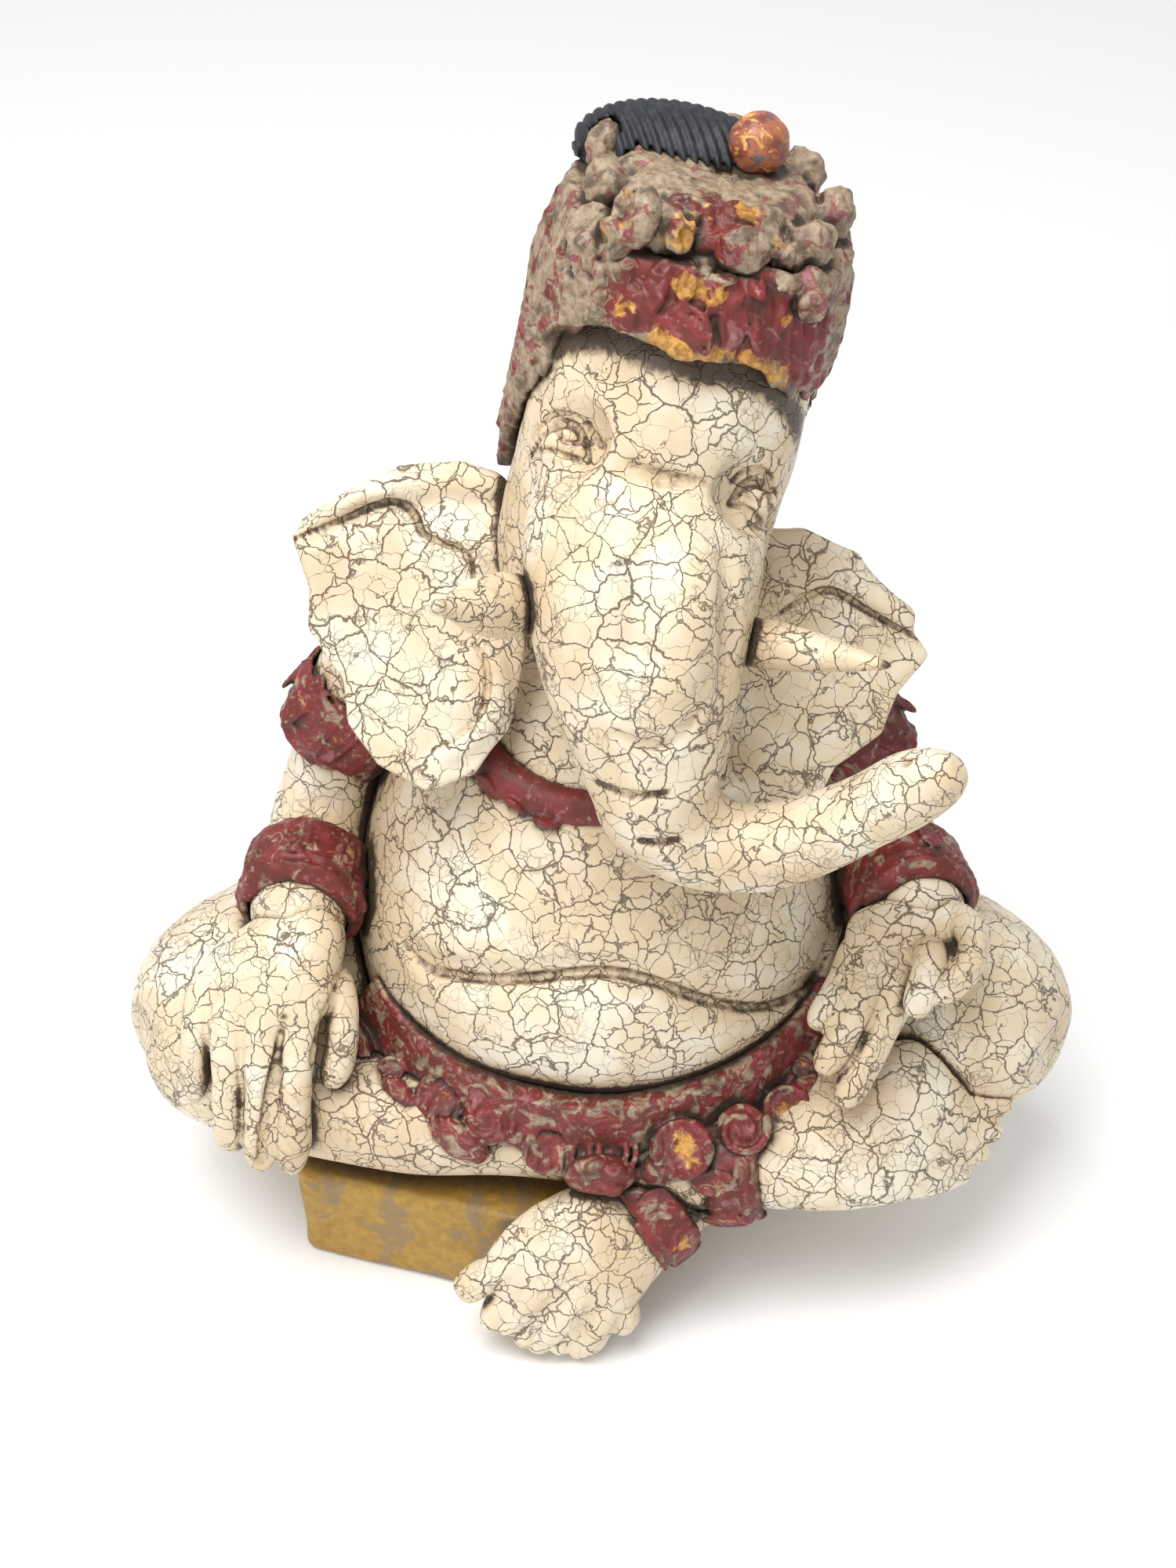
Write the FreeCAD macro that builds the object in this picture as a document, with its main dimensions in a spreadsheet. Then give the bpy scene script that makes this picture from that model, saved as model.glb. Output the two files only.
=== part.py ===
import FreeCAD, Part
import math
import os

import Sketcher

# A seated elephant-headed idol, carved as separate wooden blocks that are pegged and glued together.
# Millimetres. +X is the figure's left, +Y is behind it, +Z is up.
# The origin is on the ground, under the figure.
# "right" and "left" are the figure's own right (-X) and left (+X).

V = FreeCAD.Vector

doc = FreeCAD.newDocument("seated_idol")
sheet = doc.addObject("Spreadsheet::Sheet", "Sizes")

# ------------------------------------------------------------------ driving dimensions
SIZES = {
    # seat block: a rectangular plinth, turned a little under the figure
    "seat_long": 116.0,
    "seat_deep": 165.0,
    "seat_high": 44.0,
    "seat_yaw": -16.0,
    "seat_corner_x": -112.0,
    "seat_corner_y": -80.0,
    "seat_edge": 5.0,
    # head: leans towards the figure's left shoulder
    "head_x": 2.0,
    "head_z": 240.0,
    "head_roll": 13.0,
    # pegs, all of turned dowel, and the slack that their holes leave for glue
    "dowel_radius": 5.0,
    "peg_radius": 3.0,
    "glue_gap": 0.1,
    "tenon_length": 20.0,
    # bands: how far each one stands out of the limb that it goes round
    "band_relief": 4.0,
    "armlet_width": 30.0,
    "bracelet_width": 28.0,
    "anklet_width": 19.0,
    # belt: a swag that goes round the lap, and its carved lobes
    "belt_y": -10.0,
    "belt_z": 108.0,
    "belt_tilt": 20.0,
    "belt_radius": 88.0,
    "belt_top": 22.0,
    "belt_bottom": 0.0,
    "belt_flare": 12.0,
    "belt_thick": 9.0,
    "belt_sweep": 132.0,
    "lobe_reach": 103.0,
    "lobe_z": 0.0,
    "lobe_half_width": 13.0,
    "lobe_half_height": 12.0,
    "lobe_half_thick": 6.0,
    "lobe_count": 9,
    # crown: two carved tiers on the head's own axis, with a topknot and a ball
    "crown_x": -2.0,
    "crown_y": 3.0,
    "crown_low": 38.0,
    "crown_rim": 128.0,
    "crown_top": 150.0,
    "crown_radius": 46.0,
    "crown_rim_radius": 49.0,
    "crown_top_radius": 45.0,
    "brow_edge": 130.0,
    "tier_top": 163.0,
    "tier_radius": 37.0,
    "tier_top_radius": 27.0,
    "leaf_count": 16,
    "leaf_half_width": 8.5,
    "leaf_half_height": 12.0,
    "leaf_half_thick": 5.0,
    "shell_count": 9,
    "shell_half_width": 9.0,
    "shell_half_height": 9.0,
    "shell_half_thick": 6.0,
    "shell_z": 157.0,
    "knot_x": -12.0,
    "knot_y": 22.0,
    "knot_z": 155.0,
    "knot_long": 34.0,
    "knot_deep": 20.0,
    "knot_high": 16.0,
    "ball_x": 8.0,
    "ball_y": 12.0,
    "ball_z": 170.0,
    "ball_radius": 9.5,
    "ball_neck_radius": 5.0,
    # ears: flat leaves that lean back at the top
    "ear_lean": 36.0,
    "ear_thick": 8.0,
    "ear_y": -22.0,
    # necklace: a ring that lies on the chest and the nape
    "necklace_radius": 50.0,
    "necklace_bead": 7.0,
    "necklace_tilt": 30.0,
    "necklace_y": -8.0,
    "necklace_z": 219.0,
    # toes and fingers
    "toe_radius": 6.0,
    "finger_radius": 6.5,
}

# Centre lines. Each stop is x, y, z, then half the width and half the thickness there.
TORSO = (
    (0, -6, 44, 74, 58),
    (0, -5, 60, 82, 66),
    (0, -6, 78, 87, 72),
    (0, -8, 98, 90, 82),
    (0, -8, 122, 90, 84),
    (0, -5, 148, 84, 78),
    (0, 0, 175, 75, 68),
    (2, 4, 200, 64, 54),
    (2, 6, 218, 48, 42),
    (2, 6, 232, 33, 32),
    (2, 6, 244, 27, 26),
)
# The head's stops are on its own leaning axis, and its width is the smaller half size.
SKULL = (
    (0, 0, -4, 29, 26),
    (0, -8, 12, 40, 38),
    (0, -10, 35, 47, 43.5),
    (0, -8, 60, 50, 43.5),
    (0, -5, 85, 50, 44),
    (0, 0, 110, 46, 42),
    (0, 4, 130, 38, 36),
    (0, 6, 142, 28, 26),
)
TRUNK = (
    (15, -20, 317, 27, 24),
    (14, -42, 296, 38, 31),
    (13, -59, 276, 35, 30),
    (15, -71, 250, 28.5, 26),
    (19, -78, 228, 22, 22),
    (27, -82, 212, 18, 18),
    (46, -86, 207, 14.5, 14.5),
    (68, -90, 216, 13.5, 13.5),
    (88, -96, 234, 12, 12),
    (104, -102, 250, 10, 10),
)
# The trunk's first stops are carved on the head block, and the rest is the curled tip.
TRUNK_ON_HEAD = 5
# A limb's dome: how far its last stop lies beyond the end and how small it is, in parts of the radius.
DOME_REACH = 0.8
DOME_SHRINK = 0.45
# The cosine above which an edge counts as upright.
NEARLY_UPRIGHT = 0.99

LIMBS = {
    "right_thigh": ((-50, 18, 84, 36), (-98, -6, 86, 38), (-138, -38, 86, 37)),
    "left_thigh": ((50, 18, 84, 36), (98, -8, 86, 38), (139, -40, 86, 37)),
    "right_shin": (
        (-136, -48, 82, 32),
        (-100, -67, 73, 24),
        (-60, -78, 70, 20),
        (0, -85, 67, 17),
        (42, -94, 64, 16),
    ),
    "left_shin": ((135, -46, 76, 28), (92, -64, 60, 19), (55, -80, 57, 16), (30, -94, 50, 15)),
    "right_arm": (
        (-68, 14, 210, 22),
        (-86, 12, 190, 19.5),
        (-95, 10, 166, 17),
        (-100, 5, 149, 18),
        (-103, -10, 139, 19),
        (-105, -24, 138, 19),
        (-107, -42, 135, 17),
    ),
    "left_arm": (
        (68, 14, 194, 22),
        (86, 12, 176, 19.5),
        (95, 9, 160, 17),
        (101, -2, 145, 18),
        (105, -14, 141, 19),
        (108, -27, 140, 19),
        (112, -44, 140, 17),
    ),
}
# Bands: the limb each one is on, its centre, its direction and the limb's radius there.
BANDS = {
    "right_armlet": ("armlet_width", (-88, 12, 187), (-9, -1, -24), 19.5),
    "left_armlet": ("armlet_width", (88, 11, 173), (-10, 2, 17), 19.5),
    "right_bracelet": ("bracelet_width", (-105, -28, 138), (-1, -10, -1), 19.5),
    "left_bracelet": ("bracelet_width", (109, -32, 140), (2, -10, 0), 19.5),
    "right_anklet": ("anklet_width", (48, -95, 65), (10, -1, 1), 17.5),
    "left_anklet": ("anklet_width", (18, -101, 47.5), (-18, -11, -6), 17.5),
}
HANDS = {
    "right_hand": {
        "palm": (
            (-107, -42, 135, 17, 16),
            (-109, -54, 131, 20, 14),
            (-116, -64, 125, 24, 12),
            (-119, -72, 117, 21, 9),
        ),
        "across": (1, -0.2, 0.1),
        "fingers": (
            ((-94, -58, 121), (-90, -74, 112), (-93, -84, 98)),
            ((-105, -68, 121), (-106, -90, 98), (-109, -97, 68)),
            ((-117, -70, 121), (-118, -90, 98), (-120, -95, 67)),
            ((-129, -68, 120), (-130, -86, 98), (-131, -88, 69)),
            ((-138, -62, 120), (-142, -76, 102), (-143, -76, 82)),
        ),
    },
    "left_hand": {
        "palm": (
            (112, -44, 140, 17, 15),
            (110, -53, 140, 19, 13),
            (105, -61, 137, 21, 11),
            (101, -67, 132, 18, 8),
        ),
        "across": (1, 0.2, 0),
        "fingers": (
            ((90, -60, 136), (83, -71, 129), (76, -80, 122)),
            ((97, -64, 133), (88, -79, 125), (78, -92, 113)),
            ((104, -70, 130), (95, -85, 115), (85, -98, 103)),
            ((113, -66, 140), (112, -78, 147), (108, -86, 135)),
            ((124, -54, 146), (128, -69, 147), (117, -84, 139)),
        ),
    },
}
FEET = {
    "right_foot": {
        "sole": (
            (42, -94, 64, 16, 15),
            (62, -95, 69, 19, 15),
            (82, -93, 75, 25, 14),
            (104, -87, 78, 28, 12),
            (128, -78, 71, 24, 8),
        ),
        "across": (0.3, 0.75, 0.6),
        "toes": (
            ((128, -65, 80), (149, -61, 77)),
            ((126, -72, 76), (145, -72, 71)),
            ((124, -78, 71), (141, -80, 66)),
            ((122, -84, 66), (136, -87, 62)),
            ((118, -90, 61), (129, -92, 57)),
        ),
    },
    "left_foot": {
        "sole": (
            (30, -94, 50, 15, 15),
            (12, -106, 46, 20, 14),
            (-6, -116, 38, 27, 13),
            (-17, -121, 27, 28, 11),
            (-23, -124, 20, 24, 8),
        ),
        "across": (0.86, -0.13, -0.5),
        "toes": (
            ((-40, -119, 34), (-48, -122, 31)),
            ((-31, -122, 27), (-39, -127, 18)),
            ((-21, -124, 20), (-27, -129, 11)),
            ((-11, -125, 15), (-14, -130, 8)),
            ((-2, -125, 12), (-3, -129, 7)),
        ),
    },
}
# Ear outline, in the ear's own plane: the root, the rolled top edge, the tip, the scalloped edge
# and the lobe.
EAR = (
    (36, 46),
    (58, 51),
    (78, 46),
    (109, 17),
    (100, 2),
    (98, -12),
    (84, -26),
    (80, -40),
    (68, -52),
    (50, -58),
    (36, -50),
    (27, -32),
    (26, -8),
)
# Each tusk: the root's centre, its tip, and its profile as fractions of its length against its half width.
TUSKS = {
    "right_tusk": (
        (-30, -48, 30),
        (-65, -82, 46),
        ((0.0, 9.5), (0.35, 10.5), (0.6, 8.5), (0.8, 4.0), (1.0, 1.0)),
    ),
    "left_tusk": (
        (34, -52, 34),
        (76, -86, 59),
        ((0.0, 8.0), (0.25, 8.0), (0.5, 6.5), (0.8, 3.5), (1.0, 1.0)),
    ),
}
# Pegs: each one's middle, its direction, its length and which of the two sizes it is.
PEGS = {
    "seat_dowels": (
        ((-38, -20, 44), (0, 0, 1), 44, "dowel_radius"),
        ((8, 10, 44), (0, 0, 1), 44, "dowel_radius"),
    ),
    "neck_dowel": (((2, 6, 244), (0.225, 0, 0.974), 70, "dowel_radius"),),
    "hip_dowels": (
        ((-62, 8, 86), (-0.9, -0.43, 0), 44, "dowel_radius"),
        ((62, 8, 86), (0.9, -0.43, 0), 44, "dowel_radius"),
    ),
    "knee_dowels": (
        ((-137, -44, 84), (0.1, -1, -0.1), 26, "peg_radius"),
        ((137, -43, 82), (-0.1, -1, -0.1), 26, "peg_radius"),
    ),
    "shoulder_dowels": (
        ((-66, 10, 200), (-1, 0.1, -0.3), 36, "peg_radius"),
        ((68, 10, 186), (1, 0.1, -0.3), 36, "peg_radius"),
    ),
    "wrist_dowels": (
        ((-107, -42, 135), (-0.1, -0.95, -0.25), 26, "peg_radius"),
        ((112, -44, 140), (0.05, -0.98, 0), 26, "peg_radius"),
    ),
    "ankle_dowels": (
        ((42, -94, 64), (1, -0.1, 0.1), 26, "peg_radius"),
        ((30, -94, 50), (-1, -0.6, -0.2), 22, "peg_radius"),
    ),
    "trunk_dowel": (((19, -78, 228), (0.25, -0.2, -0.95), 26, "peg_radius"),),
}
# These are on the head's own leaning axis.
HEAD_PEGS = {
    "ear_dowels": (
        ((-46, -8, 20), (1, 0, 0), 24, "peg_radius"),
        ((46, -8, 20), (1, 0, 0), 24, "peg_radius"),
    ),
    "crown_dowel": (((0, 6, 142), (0, 0, 1), 36, "dowel_radius"),),
    "finial_dowel": (((8, 12, 157), (0, 0, 1), 20, "peg_radius"),),
}


# ------------------------------------------------------------------ the sheet
def add_cell(alias, value):
    """Writes one named size into the sheet's next row."""
    add_cell.row += 1
    sheet.set(f"A{add_cell.row}", alias)
    sheet.set(f"B{add_cell.row}", str(value))
    sheet.setAlias(f"B{add_cell.row}", alias)


add_cell.row = 0
for alias, value in SIZES.items():
    add_cell(alias, value)
doc.recompute()


def size(alias):
    """A sheet value, for the few places that an expression can't reach."""
    return float(sheet.get(alias))


head_frame = FreeCAD.Placement(
    V(size("head_x"), 0, size("head_z")), FreeCAD.Rotation(V(0, 1, 0), size("head_roll"))
)
WORLD = FreeCAD.Placement()


def bind(thing, prop, expression):
    thing.setExpression(prop, expression)


def aim(direction, across):
    """The rotation that points Z along direction, with X as near to across as it can be."""
    axis = V(*direction)
    side = V(*across)
    return FreeCAD.Rotation(side, V(), axis, "ZXY")


def cut(base, *tools):
    """Takes each tool from base, one after another, and gives the last result."""
    for tool in tools:
        step = doc.addObject("Part::Cut", f"less_{tool.Name}")
        step.Base = base
        step.Tool = tool
        base = step
    return base


def fuse(name, *things):
    joined = doc.addObject("Part::MultiFuse", name)
    joined.Shapes = list(things)
    return joined


# ------------------------------------------------------------------ carved masses
def directions(stops):
    """The centre line's direction at each stop."""
    points = [V(*stop[:3]) for stop in stops]
    last = len(points) - 1
    return [points[min(i + 1, last)] - points[max(i - 1, 0)] for i in range(len(points))]


def section(name, stop, axis, across, frame):
    """One elliptical section whose centre and half sizes are cells of the sheet."""
    wide = stop[3]
    thin = stop[4] if len(stop) > 4 else stop[3]
    for alias, value in zip(("x", "y", "z", "wide", "thin"), (*stop[:3], wide, thin)):
        add_cell(f"{name}_{alias}", value)
    ring = doc.addObject("Part::Ellipse", name)
    bind(ring, "MajorRadius", f"Sizes.{name}_wide")
    bind(ring, "MinorRadius", f"Sizes.{name}_thin")
    ring.Placement = frame.multiply(FreeCAD.Placement(V(*stop[:3]), aim(axis, across)))
    if frame is WORLD:
        for letter in "xyz":
            bind(ring, f"Placement.Base.{letter}", f"Sizes.{name}_{letter}")
    return ring


def loft(name, stops, across, axis=None, frame=WORLD, route=None, first=0):
    """A solid through elliptical sections. Without one axis for all, each crosses the centre line."""
    along = directions(route or stops)
    rings = []
    for index, stop in enumerate(stops):
        normal = axis or along[index + first]
        rings.append(section(f"{name}_{index + first + 1}", stop, normal, across, frame))
    mass = doc.addObject("Part::Loft", name)
    mass.Sections = rings
    mass.Solid = True
    mass.Ruled = False
    return mass


def rounded(stops):
    """Adds a small stop beyond each end, so that a limb's ends are domed."""
    points = [V(*stop[:3]) for stop in stops]
    start = (points[0] - points[1]).normalize()
    finish = (points[-1] - points[-2]).normalize()

    def dome(stop, outward, reach, shrink):
        centre = V(*stop[:3]) + outward * (stop[-1] * reach)
        return (*centre, *[half * shrink for half in stop[3:]])

    return (
        dome(stops[0], start, DOME_REACH, DOME_SHRINK),
        *stops,
        dome(stops[-1], finish, DOME_REACH, DOME_SHRINK),
    )


def half_domed(stops):
    """Leaves the first end flat, where the piece meets its neighbour, and domes the last."""
    return rounded(stops)[1:]


def cylinder(name, centre, direction, length, radius_expression, frame=WORLD):
    """A cylinder about its own middle."""
    rod = doc.addObject("Part::Cylinder", name)
    bind(rod, "Radius", radius_expression)
    rod.Height = length
    axis = V(*direction).normalize()
    start = V(*centre) - axis * (length / 2)
    rod.Placement = frame.multiply(FreeCAD.Placement(start, FreeCAD.Rotation(V(0, 0, 1), axis)))
    return rod


def digits(name, routes, across, radius_alias, taper):
    """Fingers or toes: a short domed rod for each, thinner towards its tip."""
    rods = []
    base = size(radius_alias)
    for number, route in enumerate(routes):
        steps = len(route) - 1
        stops = [(*point, base * (1 - taper * i / steps)) for i, point in enumerate(route)]
        rods.append(loft(f"{name}_{number + 1}", rounded(stops), across))
    return rods


# ------------------------------------------------------------------ bodies with sketches
def plane_of(body, role):
    return next(feature for feature in body.Origin.OriginFeatures if feature.Role == role)


def sketch_on(body, role, name):
    sketch = body.newObject("Sketcher::SketchObject", name)
    sketch.AttachmentSupport = [(plane_of(body, role), "")]
    sketch.MapMode = "FlatFace"
    return sketch


def closed_outline(sketch, points):
    """Straight lines through the points, joined end to end."""
    for start, end in zip(points, points[1:] + points[:1]):
        sketch.addGeometry(Part.LineSegment(V(*start, 0), V(*end, 0)), False)
    for line in range(len(points)):
        following = (line + 1) % len(points)
        sketch.addConstraint(Sketcher.Constraint("Coincident", line, 2, following, 1))


def evaluate(expression):
    """The number that an expression of the sheet's cells gives now."""
    return float(sheet.evalExpression(expression.replace("Sizes.", "")))


def outline(sketch, corners):
    """A closed outline whose every corner is two expressions of the sheet's cells."""
    sheet.recompute()
    closed_outline(sketch, [(evaluate(across), evaluate(up)) for across, up in corners])
    for line, cells in enumerate(corners):
        for kind, expression in zip(("DistanceX", "DistanceY"), cells):
            value = evaluate(expression)
            index = sketch.addConstraint(Sketcher.Constraint(kind, -1, 1, line, 1, value))
            name = f"{kind}_{line + 1}"
            sketch.renameConstraint(index, name)
            sketch.setExpression(f"Constraints.{name}", expression)


def revolved(body, sketch, angle=360.0):
    turn = body.newObject("PartDesign::Revolution", "turned")
    turn.Profile = sketch
    turn.ReferenceAxis = (plane_of(body, "Z_Axis"), [""])
    turn.Angle = angle
    return turn


def ring_of(body, feature, count_alias, angle):
    """Repeats a carved boss round the body's own Z axis."""
    ring = body.newObject("PartDesign::PolarPattern", "ring_of_bosses")
    ring.Originals = [feature]
    ring.Axis = (plane_of(body, "Z_Axis"), [""])
    ring.Angle = angle
    bind(ring, "Occurrences", f"Sizes.{count_alias}")
    body.Tip = ring


def boss(body, half_sizes, reach, height, start_angle=0.0):
    """A carved boss, as a flattened ball: its half sizes are outwards, sideways and up."""
    ball = body.newObject("PartDesign::AdditiveEllipsoid", "boss")
    out, side, up = half_sizes
    bind(ball, "Radius1", up)
    bind(ball, "Radius2", out)
    bind(ball, "Radius3", side)
    ball.AttachmentSupport = [(plane_of(body, "XY_Plane"), "")]
    ball.MapMode = "FlatFace"
    turned = FreeCAD.Rotation(V(0, 0, 1), start_angle)
    place = turned.multVec(V(evaluate(reach), 0, 0)) + V(0, 0, evaluate(height))
    ball.AttachmentOffset = FreeCAD.Placement(place, turned)
    return ball


def make_seat():
    body = doc.addObject("PartDesign::Body", "seat_body")
    sketch = sketch_on(body, "XY_Plane", "seat_outline")
    long, deep = "Sizes.seat_long", "Sizes.seat_deep"
    outline(sketch, (("0", "0"), (long, "0"), (long, deep), ("0", deep)))
    pad = body.newObject("PartDesign::Pad", "seat_pad")
    pad.Profile = sketch
    bind(pad, "Length", "Sizes.seat_high")
    doc.recompute([sketch, pad])
    upright = [
        f"Edge{number + 1}"
        for number, edge in enumerate(pad.Shape.Edges)
        if abs(edge.tangentAt(edge.FirstParameter).z) > NEARLY_UPRIGHT
    ]
    rounding = body.newObject("PartDesign::Fillet", "seat_edges")
    rounding.Base = (pad, upright)
    bind(rounding, "Radius", "Sizes.seat_edge")
    corner = V(size("seat_corner_x"), size("seat_corner_y"), 0)
    body.Placement = FreeCAD.Placement(corner, FreeCAD.Rotation(V(0, 0, 1), size("seat_yaw")))
    return body


def make_belt():
    """A flared band round the lap, with a row of carved lobes along its lower edge."""
    body = doc.addObject("PartDesign::Body", "belt_body")
    sketch = sketch_on(body, "XZ_Plane", "belt_profile")
    inner = "Sizes.belt_radius"
    outer = "Sizes.belt_radius + Sizes.belt_flare"
    corners = (
        (inner, "Sizes.belt_top"),
        (outer, "Sizes.belt_bottom"),
        (f"{outer} - Sizes.belt_thick", "Sizes.belt_bottom - Sizes.belt_thick / 2"),
        (f"{inner} - Sizes.belt_thick", "Sizes.belt_top - Sizes.belt_thick / 2"),
    )
    outline(sketch, corners)
    sweep = size("belt_sweep")
    half_step = sweep / size("lobe_count") / 2
    revolved(body, sketch, sweep)
    half_sizes = ("Sizes.lobe_half_thick", "Sizes.lobe_half_width", "Sizes.lobe_half_height")
    lobe = boss(body, half_sizes, "Sizes.lobe_reach", "Sizes.lobe_z", half_step)
    ring_of(body, lobe, "lobe_count", sweep - 2 * half_step)
    facing = FreeCAD.Rotation(V(0, 0, 1), -90 - sweep / 2)
    dipped = FreeCAD.Rotation(V(1, 0, 0), size("belt_tilt"))
    body.Placement = FreeCAD.Placement(V(0, size("belt_y"), size("belt_z")), dipped.multiply(facing))
    return body


def tier(name, profile, half_sizes, reach, height, count_alias):
    """One tier of the crown: a turned ring with a row of carved bosses."""
    body = doc.addObject("PartDesign::Body", name)
    sketch = sketch_on(body, "XZ_Plane", f"{name}_profile")
    outline(sketch, profile)
    revolved(body, sketch)
    lobe = boss(body, half_sizes, reach, height)
    ring_of(body, lobe, count_alias, 360.0)
    centre = FreeCAD.Placement(V(size("crown_x"), size("crown_y"), 0), FreeCAD.Rotation())
    body.Placement = head_frame.multiply(centre)
    return body


def make_crown():
    profile = (
        ("0", "Sizes.crown_low"),
        ("Sizes.crown_radius", "Sizes.crown_low"),
        ("Sizes.crown_rim_radius", "Sizes.crown_rim"),
        ("Sizes.crown_top_radius", "Sizes.crown_top"),
        ("0", "Sizes.crown_top"),
    )
    half_sizes = ("Sizes.leaf_half_thick", "Sizes.leaf_half_width", "Sizes.leaf_half_height")
    radius, rim = "Sizes.crown_top_radius", "Sizes.crown_rim"
    return tier("crown_body", profile, half_sizes, radius, rim, "leaf_count")


def make_upper_tier():
    profile = (
        ("0", "Sizes.crown_top"),
        ("Sizes.tier_radius", "Sizes.crown_top"),
        ("Sizes.tier_top_radius", "Sizes.tier_top"),
        ("0", "Sizes.tier_top"),
    )
    half_sizes = ("Sizes.shell_half_thick", "Sizes.shell_half_width", "Sizes.shell_half_height")
    return tier("tier_body", profile, half_sizes, "Sizes.tier_radius", "Sizes.shell_z", "shell_count")


def brow_opening():
    """The space under the crown's arched front edge: a block slanting from the brow to behind the jaw."""
    radius = size("crown_radius")
    front = V(0, size("crown_y") - radius, size("brow_edge"))
    low = V(0, size("crown_y") + radius / 4, size("crown_low"))
    up = (front - low).normalize()
    outwards = V(0, -up.z, up.y)
    side = outwards.cross(up)
    block = doc.addObject("Part::Box", "brow_block")
    block.Length = 4 * radius
    block.Width = 4 * radius
    block.Height = 4 * radius
    corner = low - side * (2 * radius) - up * (2 * radius)
    slant = FreeCAD.Placement(corner, FreeCAD.Rotation(side, outwards, up, "ZXY"))
    block.Placement = head_frame.multiply(slant)
    return block


def make_ear(name, side):
    """A flat leaf. side is -1 for the right ear and 1 for the left."""
    body = doc.addObject("PartDesign::Body", f"{name}_body")
    sketch = sketch_on(body, "XZ_Plane", f"{name}_outline")
    closed_outline(sketch, [(side * across, up) for across, up in EAR])
    pad = body.newObject("PartDesign::Pad", f"{name}_pad")
    pad.Profile = sketch
    pad.SideType = "Symmetric"
    bind(pad, "Length", "Sizes.ear_thick")
    lean = FreeCAD.Placement(V(0, size("ear_y"), 0), FreeCAD.Rotation(V(1, 0, 0), -size("ear_lean")))
    body.Placement = head_frame.multiply(lean)
    return body


def make_tusk(name):
    """A turned tusk with a round tenon behind it, and the socket that the tenon fits."""
    root, tip, profile = TUSKS[name]
    axis = V(*tip) - V(*root)
    length = axis.Length
    tenon = size("tenon_length")
    tenon_radius = size("dowel_radius")
    body = doc.addObject("PartDesign::Body", f"{name}_body")
    sketch = sketch_on(body, "XZ_Plane", f"{name}_profile")
    points = [(0, -tenon), (tenon_radius, -tenon), (tenon_radius, 0)]
    points += [(half, length * part) for part, half in profile]
    points += [(0, length)]
    closed_outline(sketch, points)
    revolved(body, sketch)
    stand = FreeCAD.Placement(V(*root), FreeCAD.Rotation(V(0, 0, 1), axis))
    body.Placement = head_frame.multiply(stand)
    middle = V(*root) - axis * (tenon / 2 / length)
    loose = "Sizes.dowel_radius + Sizes.glue_gap"
    return body, cylinder(f"{name}_socket", middle, axis, tenon + 1, loose, head_frame)


def make_band(name):
    """A cuff round a limb, with bevelled rims."""
    width_alias, centre, direction, limb_radius = BANDS[name]
    add_cell(f"{name}_limb", limb_radius)
    body = doc.addObject("PartDesign::Body", f"{name}_body")
    sketch = sketch_on(body, "XZ_Plane", f"{name}_profile")
    limb = f"Sizes.{name}_limb"
    half = f"Sizes.{width_alias} / 2"
    relief = "Sizes.band_relief"
    corners = (
        (f"{limb} - {relief}", f"0 - {half}"),
        (f"{limb} + 1", f"0 - {half}"),
        (f"{limb} + {relief}", f"{relief} - {half}"),
        (f"{limb} + {relief}", f"{half} - {relief}"),
        (f"{limb} + 1", half),
        (f"{limb} - {relief}", half),
    )
    outline(sketch, corners)
    revolved(body, sketch)
    body.Placement = FreeCAD.Placement(V(*centre), FreeCAD.Rotation(V(0, 0, 1), V(*direction)))
    return body


def make_pegs(name, group, frame):
    """The pegs themselves, as one compound, and the slightly wider holes that they fit."""
    rods = []
    holes = []
    for number, (centre, direction, length, alias) in enumerate(group):
        rods.append(cylinder(f"{name}_{number + 1}", centre, direction, length, f"Sizes.{alias}", frame))
        loose = f"Sizes.{alias} + Sizes.glue_gap"
        holes.append(cylinder(f"{name}_hole_{number + 1}", centre, direction, length + 0.5, loose, frame))
    together = doc.addObject("Part::Compound", name)
    together.Links = rods
    return together, holes


# ------------------------------------------------------------------ the idol
parts = {}
holes = {}
for name, group in PEGS.items():
    parts[name], holes[name] = make_pegs(name, group, WORLD)
for name, group in HEAD_PEGS.items():
    parts[name], holes[name] = make_pegs(name, group, head_frame)

seat = make_seat()
parts["seat_block"] = cut(seat, *holes["seat_dowels"])

torso = loft("torso_mass", TORSO, (1, 0, 0), axis=(0, 0, 1))
torso_holes = ("seat_dowels", "neck_dowel", "hip_dowels", "shoulder_dowels")
parts["torso"] = cut(torso, *(hole for name in torso_holes for hole in holes[name]))

mass = {name: loft(f"{name}_mass", rounded(stops), (0, 0, 1)) for name, stops in LIMBS.items()}
SIDES = ("right", "left")
for number, side in enumerate(SIDES):
    thigh = mass[f"{side}_thigh"]
    parts[f"{side}_thigh"] = cut(thigh, torso, holes["hip_dowels"][number], holes["knee_dowels"][number])
    shin_holes = (holes["knee_dowels"][number], holes["ankle_dowels"][number])
    above = [mass["right_shin"]] if side == "left" else []
    parts[f"{side}_shin"] = cut(mass[f"{side}_shin"], thigh, torso, *above, *shin_holes)

legs = [mass["right_thigh"], mass["left_thigh"], mass["right_shin"], mass["left_shin"]]
for number, side in enumerate(SIDES):
    foot = FEET[f"{side}_foot"]
    sole = loft(f"{side}_sole", half_domed(foot["sole"]), foot["across"])
    toes = digits(f"{side}_toe", foot["toes"], foot["across"], "toe_radius", 0.2)
    mass[f"{side}_foot"] = fuse(f"{side}_foot_mass", sole, *toes)
    shin = mass[f"{side}_shin"]
    if side == "right":
        neighbours = (mass["left_thigh"], mass["left_shin"], shin)
    else:
        neighbours = (mass["right_shin"], shin, seat)
    parts[f"{side}_foot"] = cut(mass[f"{side}_foot"], *neighbours, holes["ankle_dowels"][number])

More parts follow.
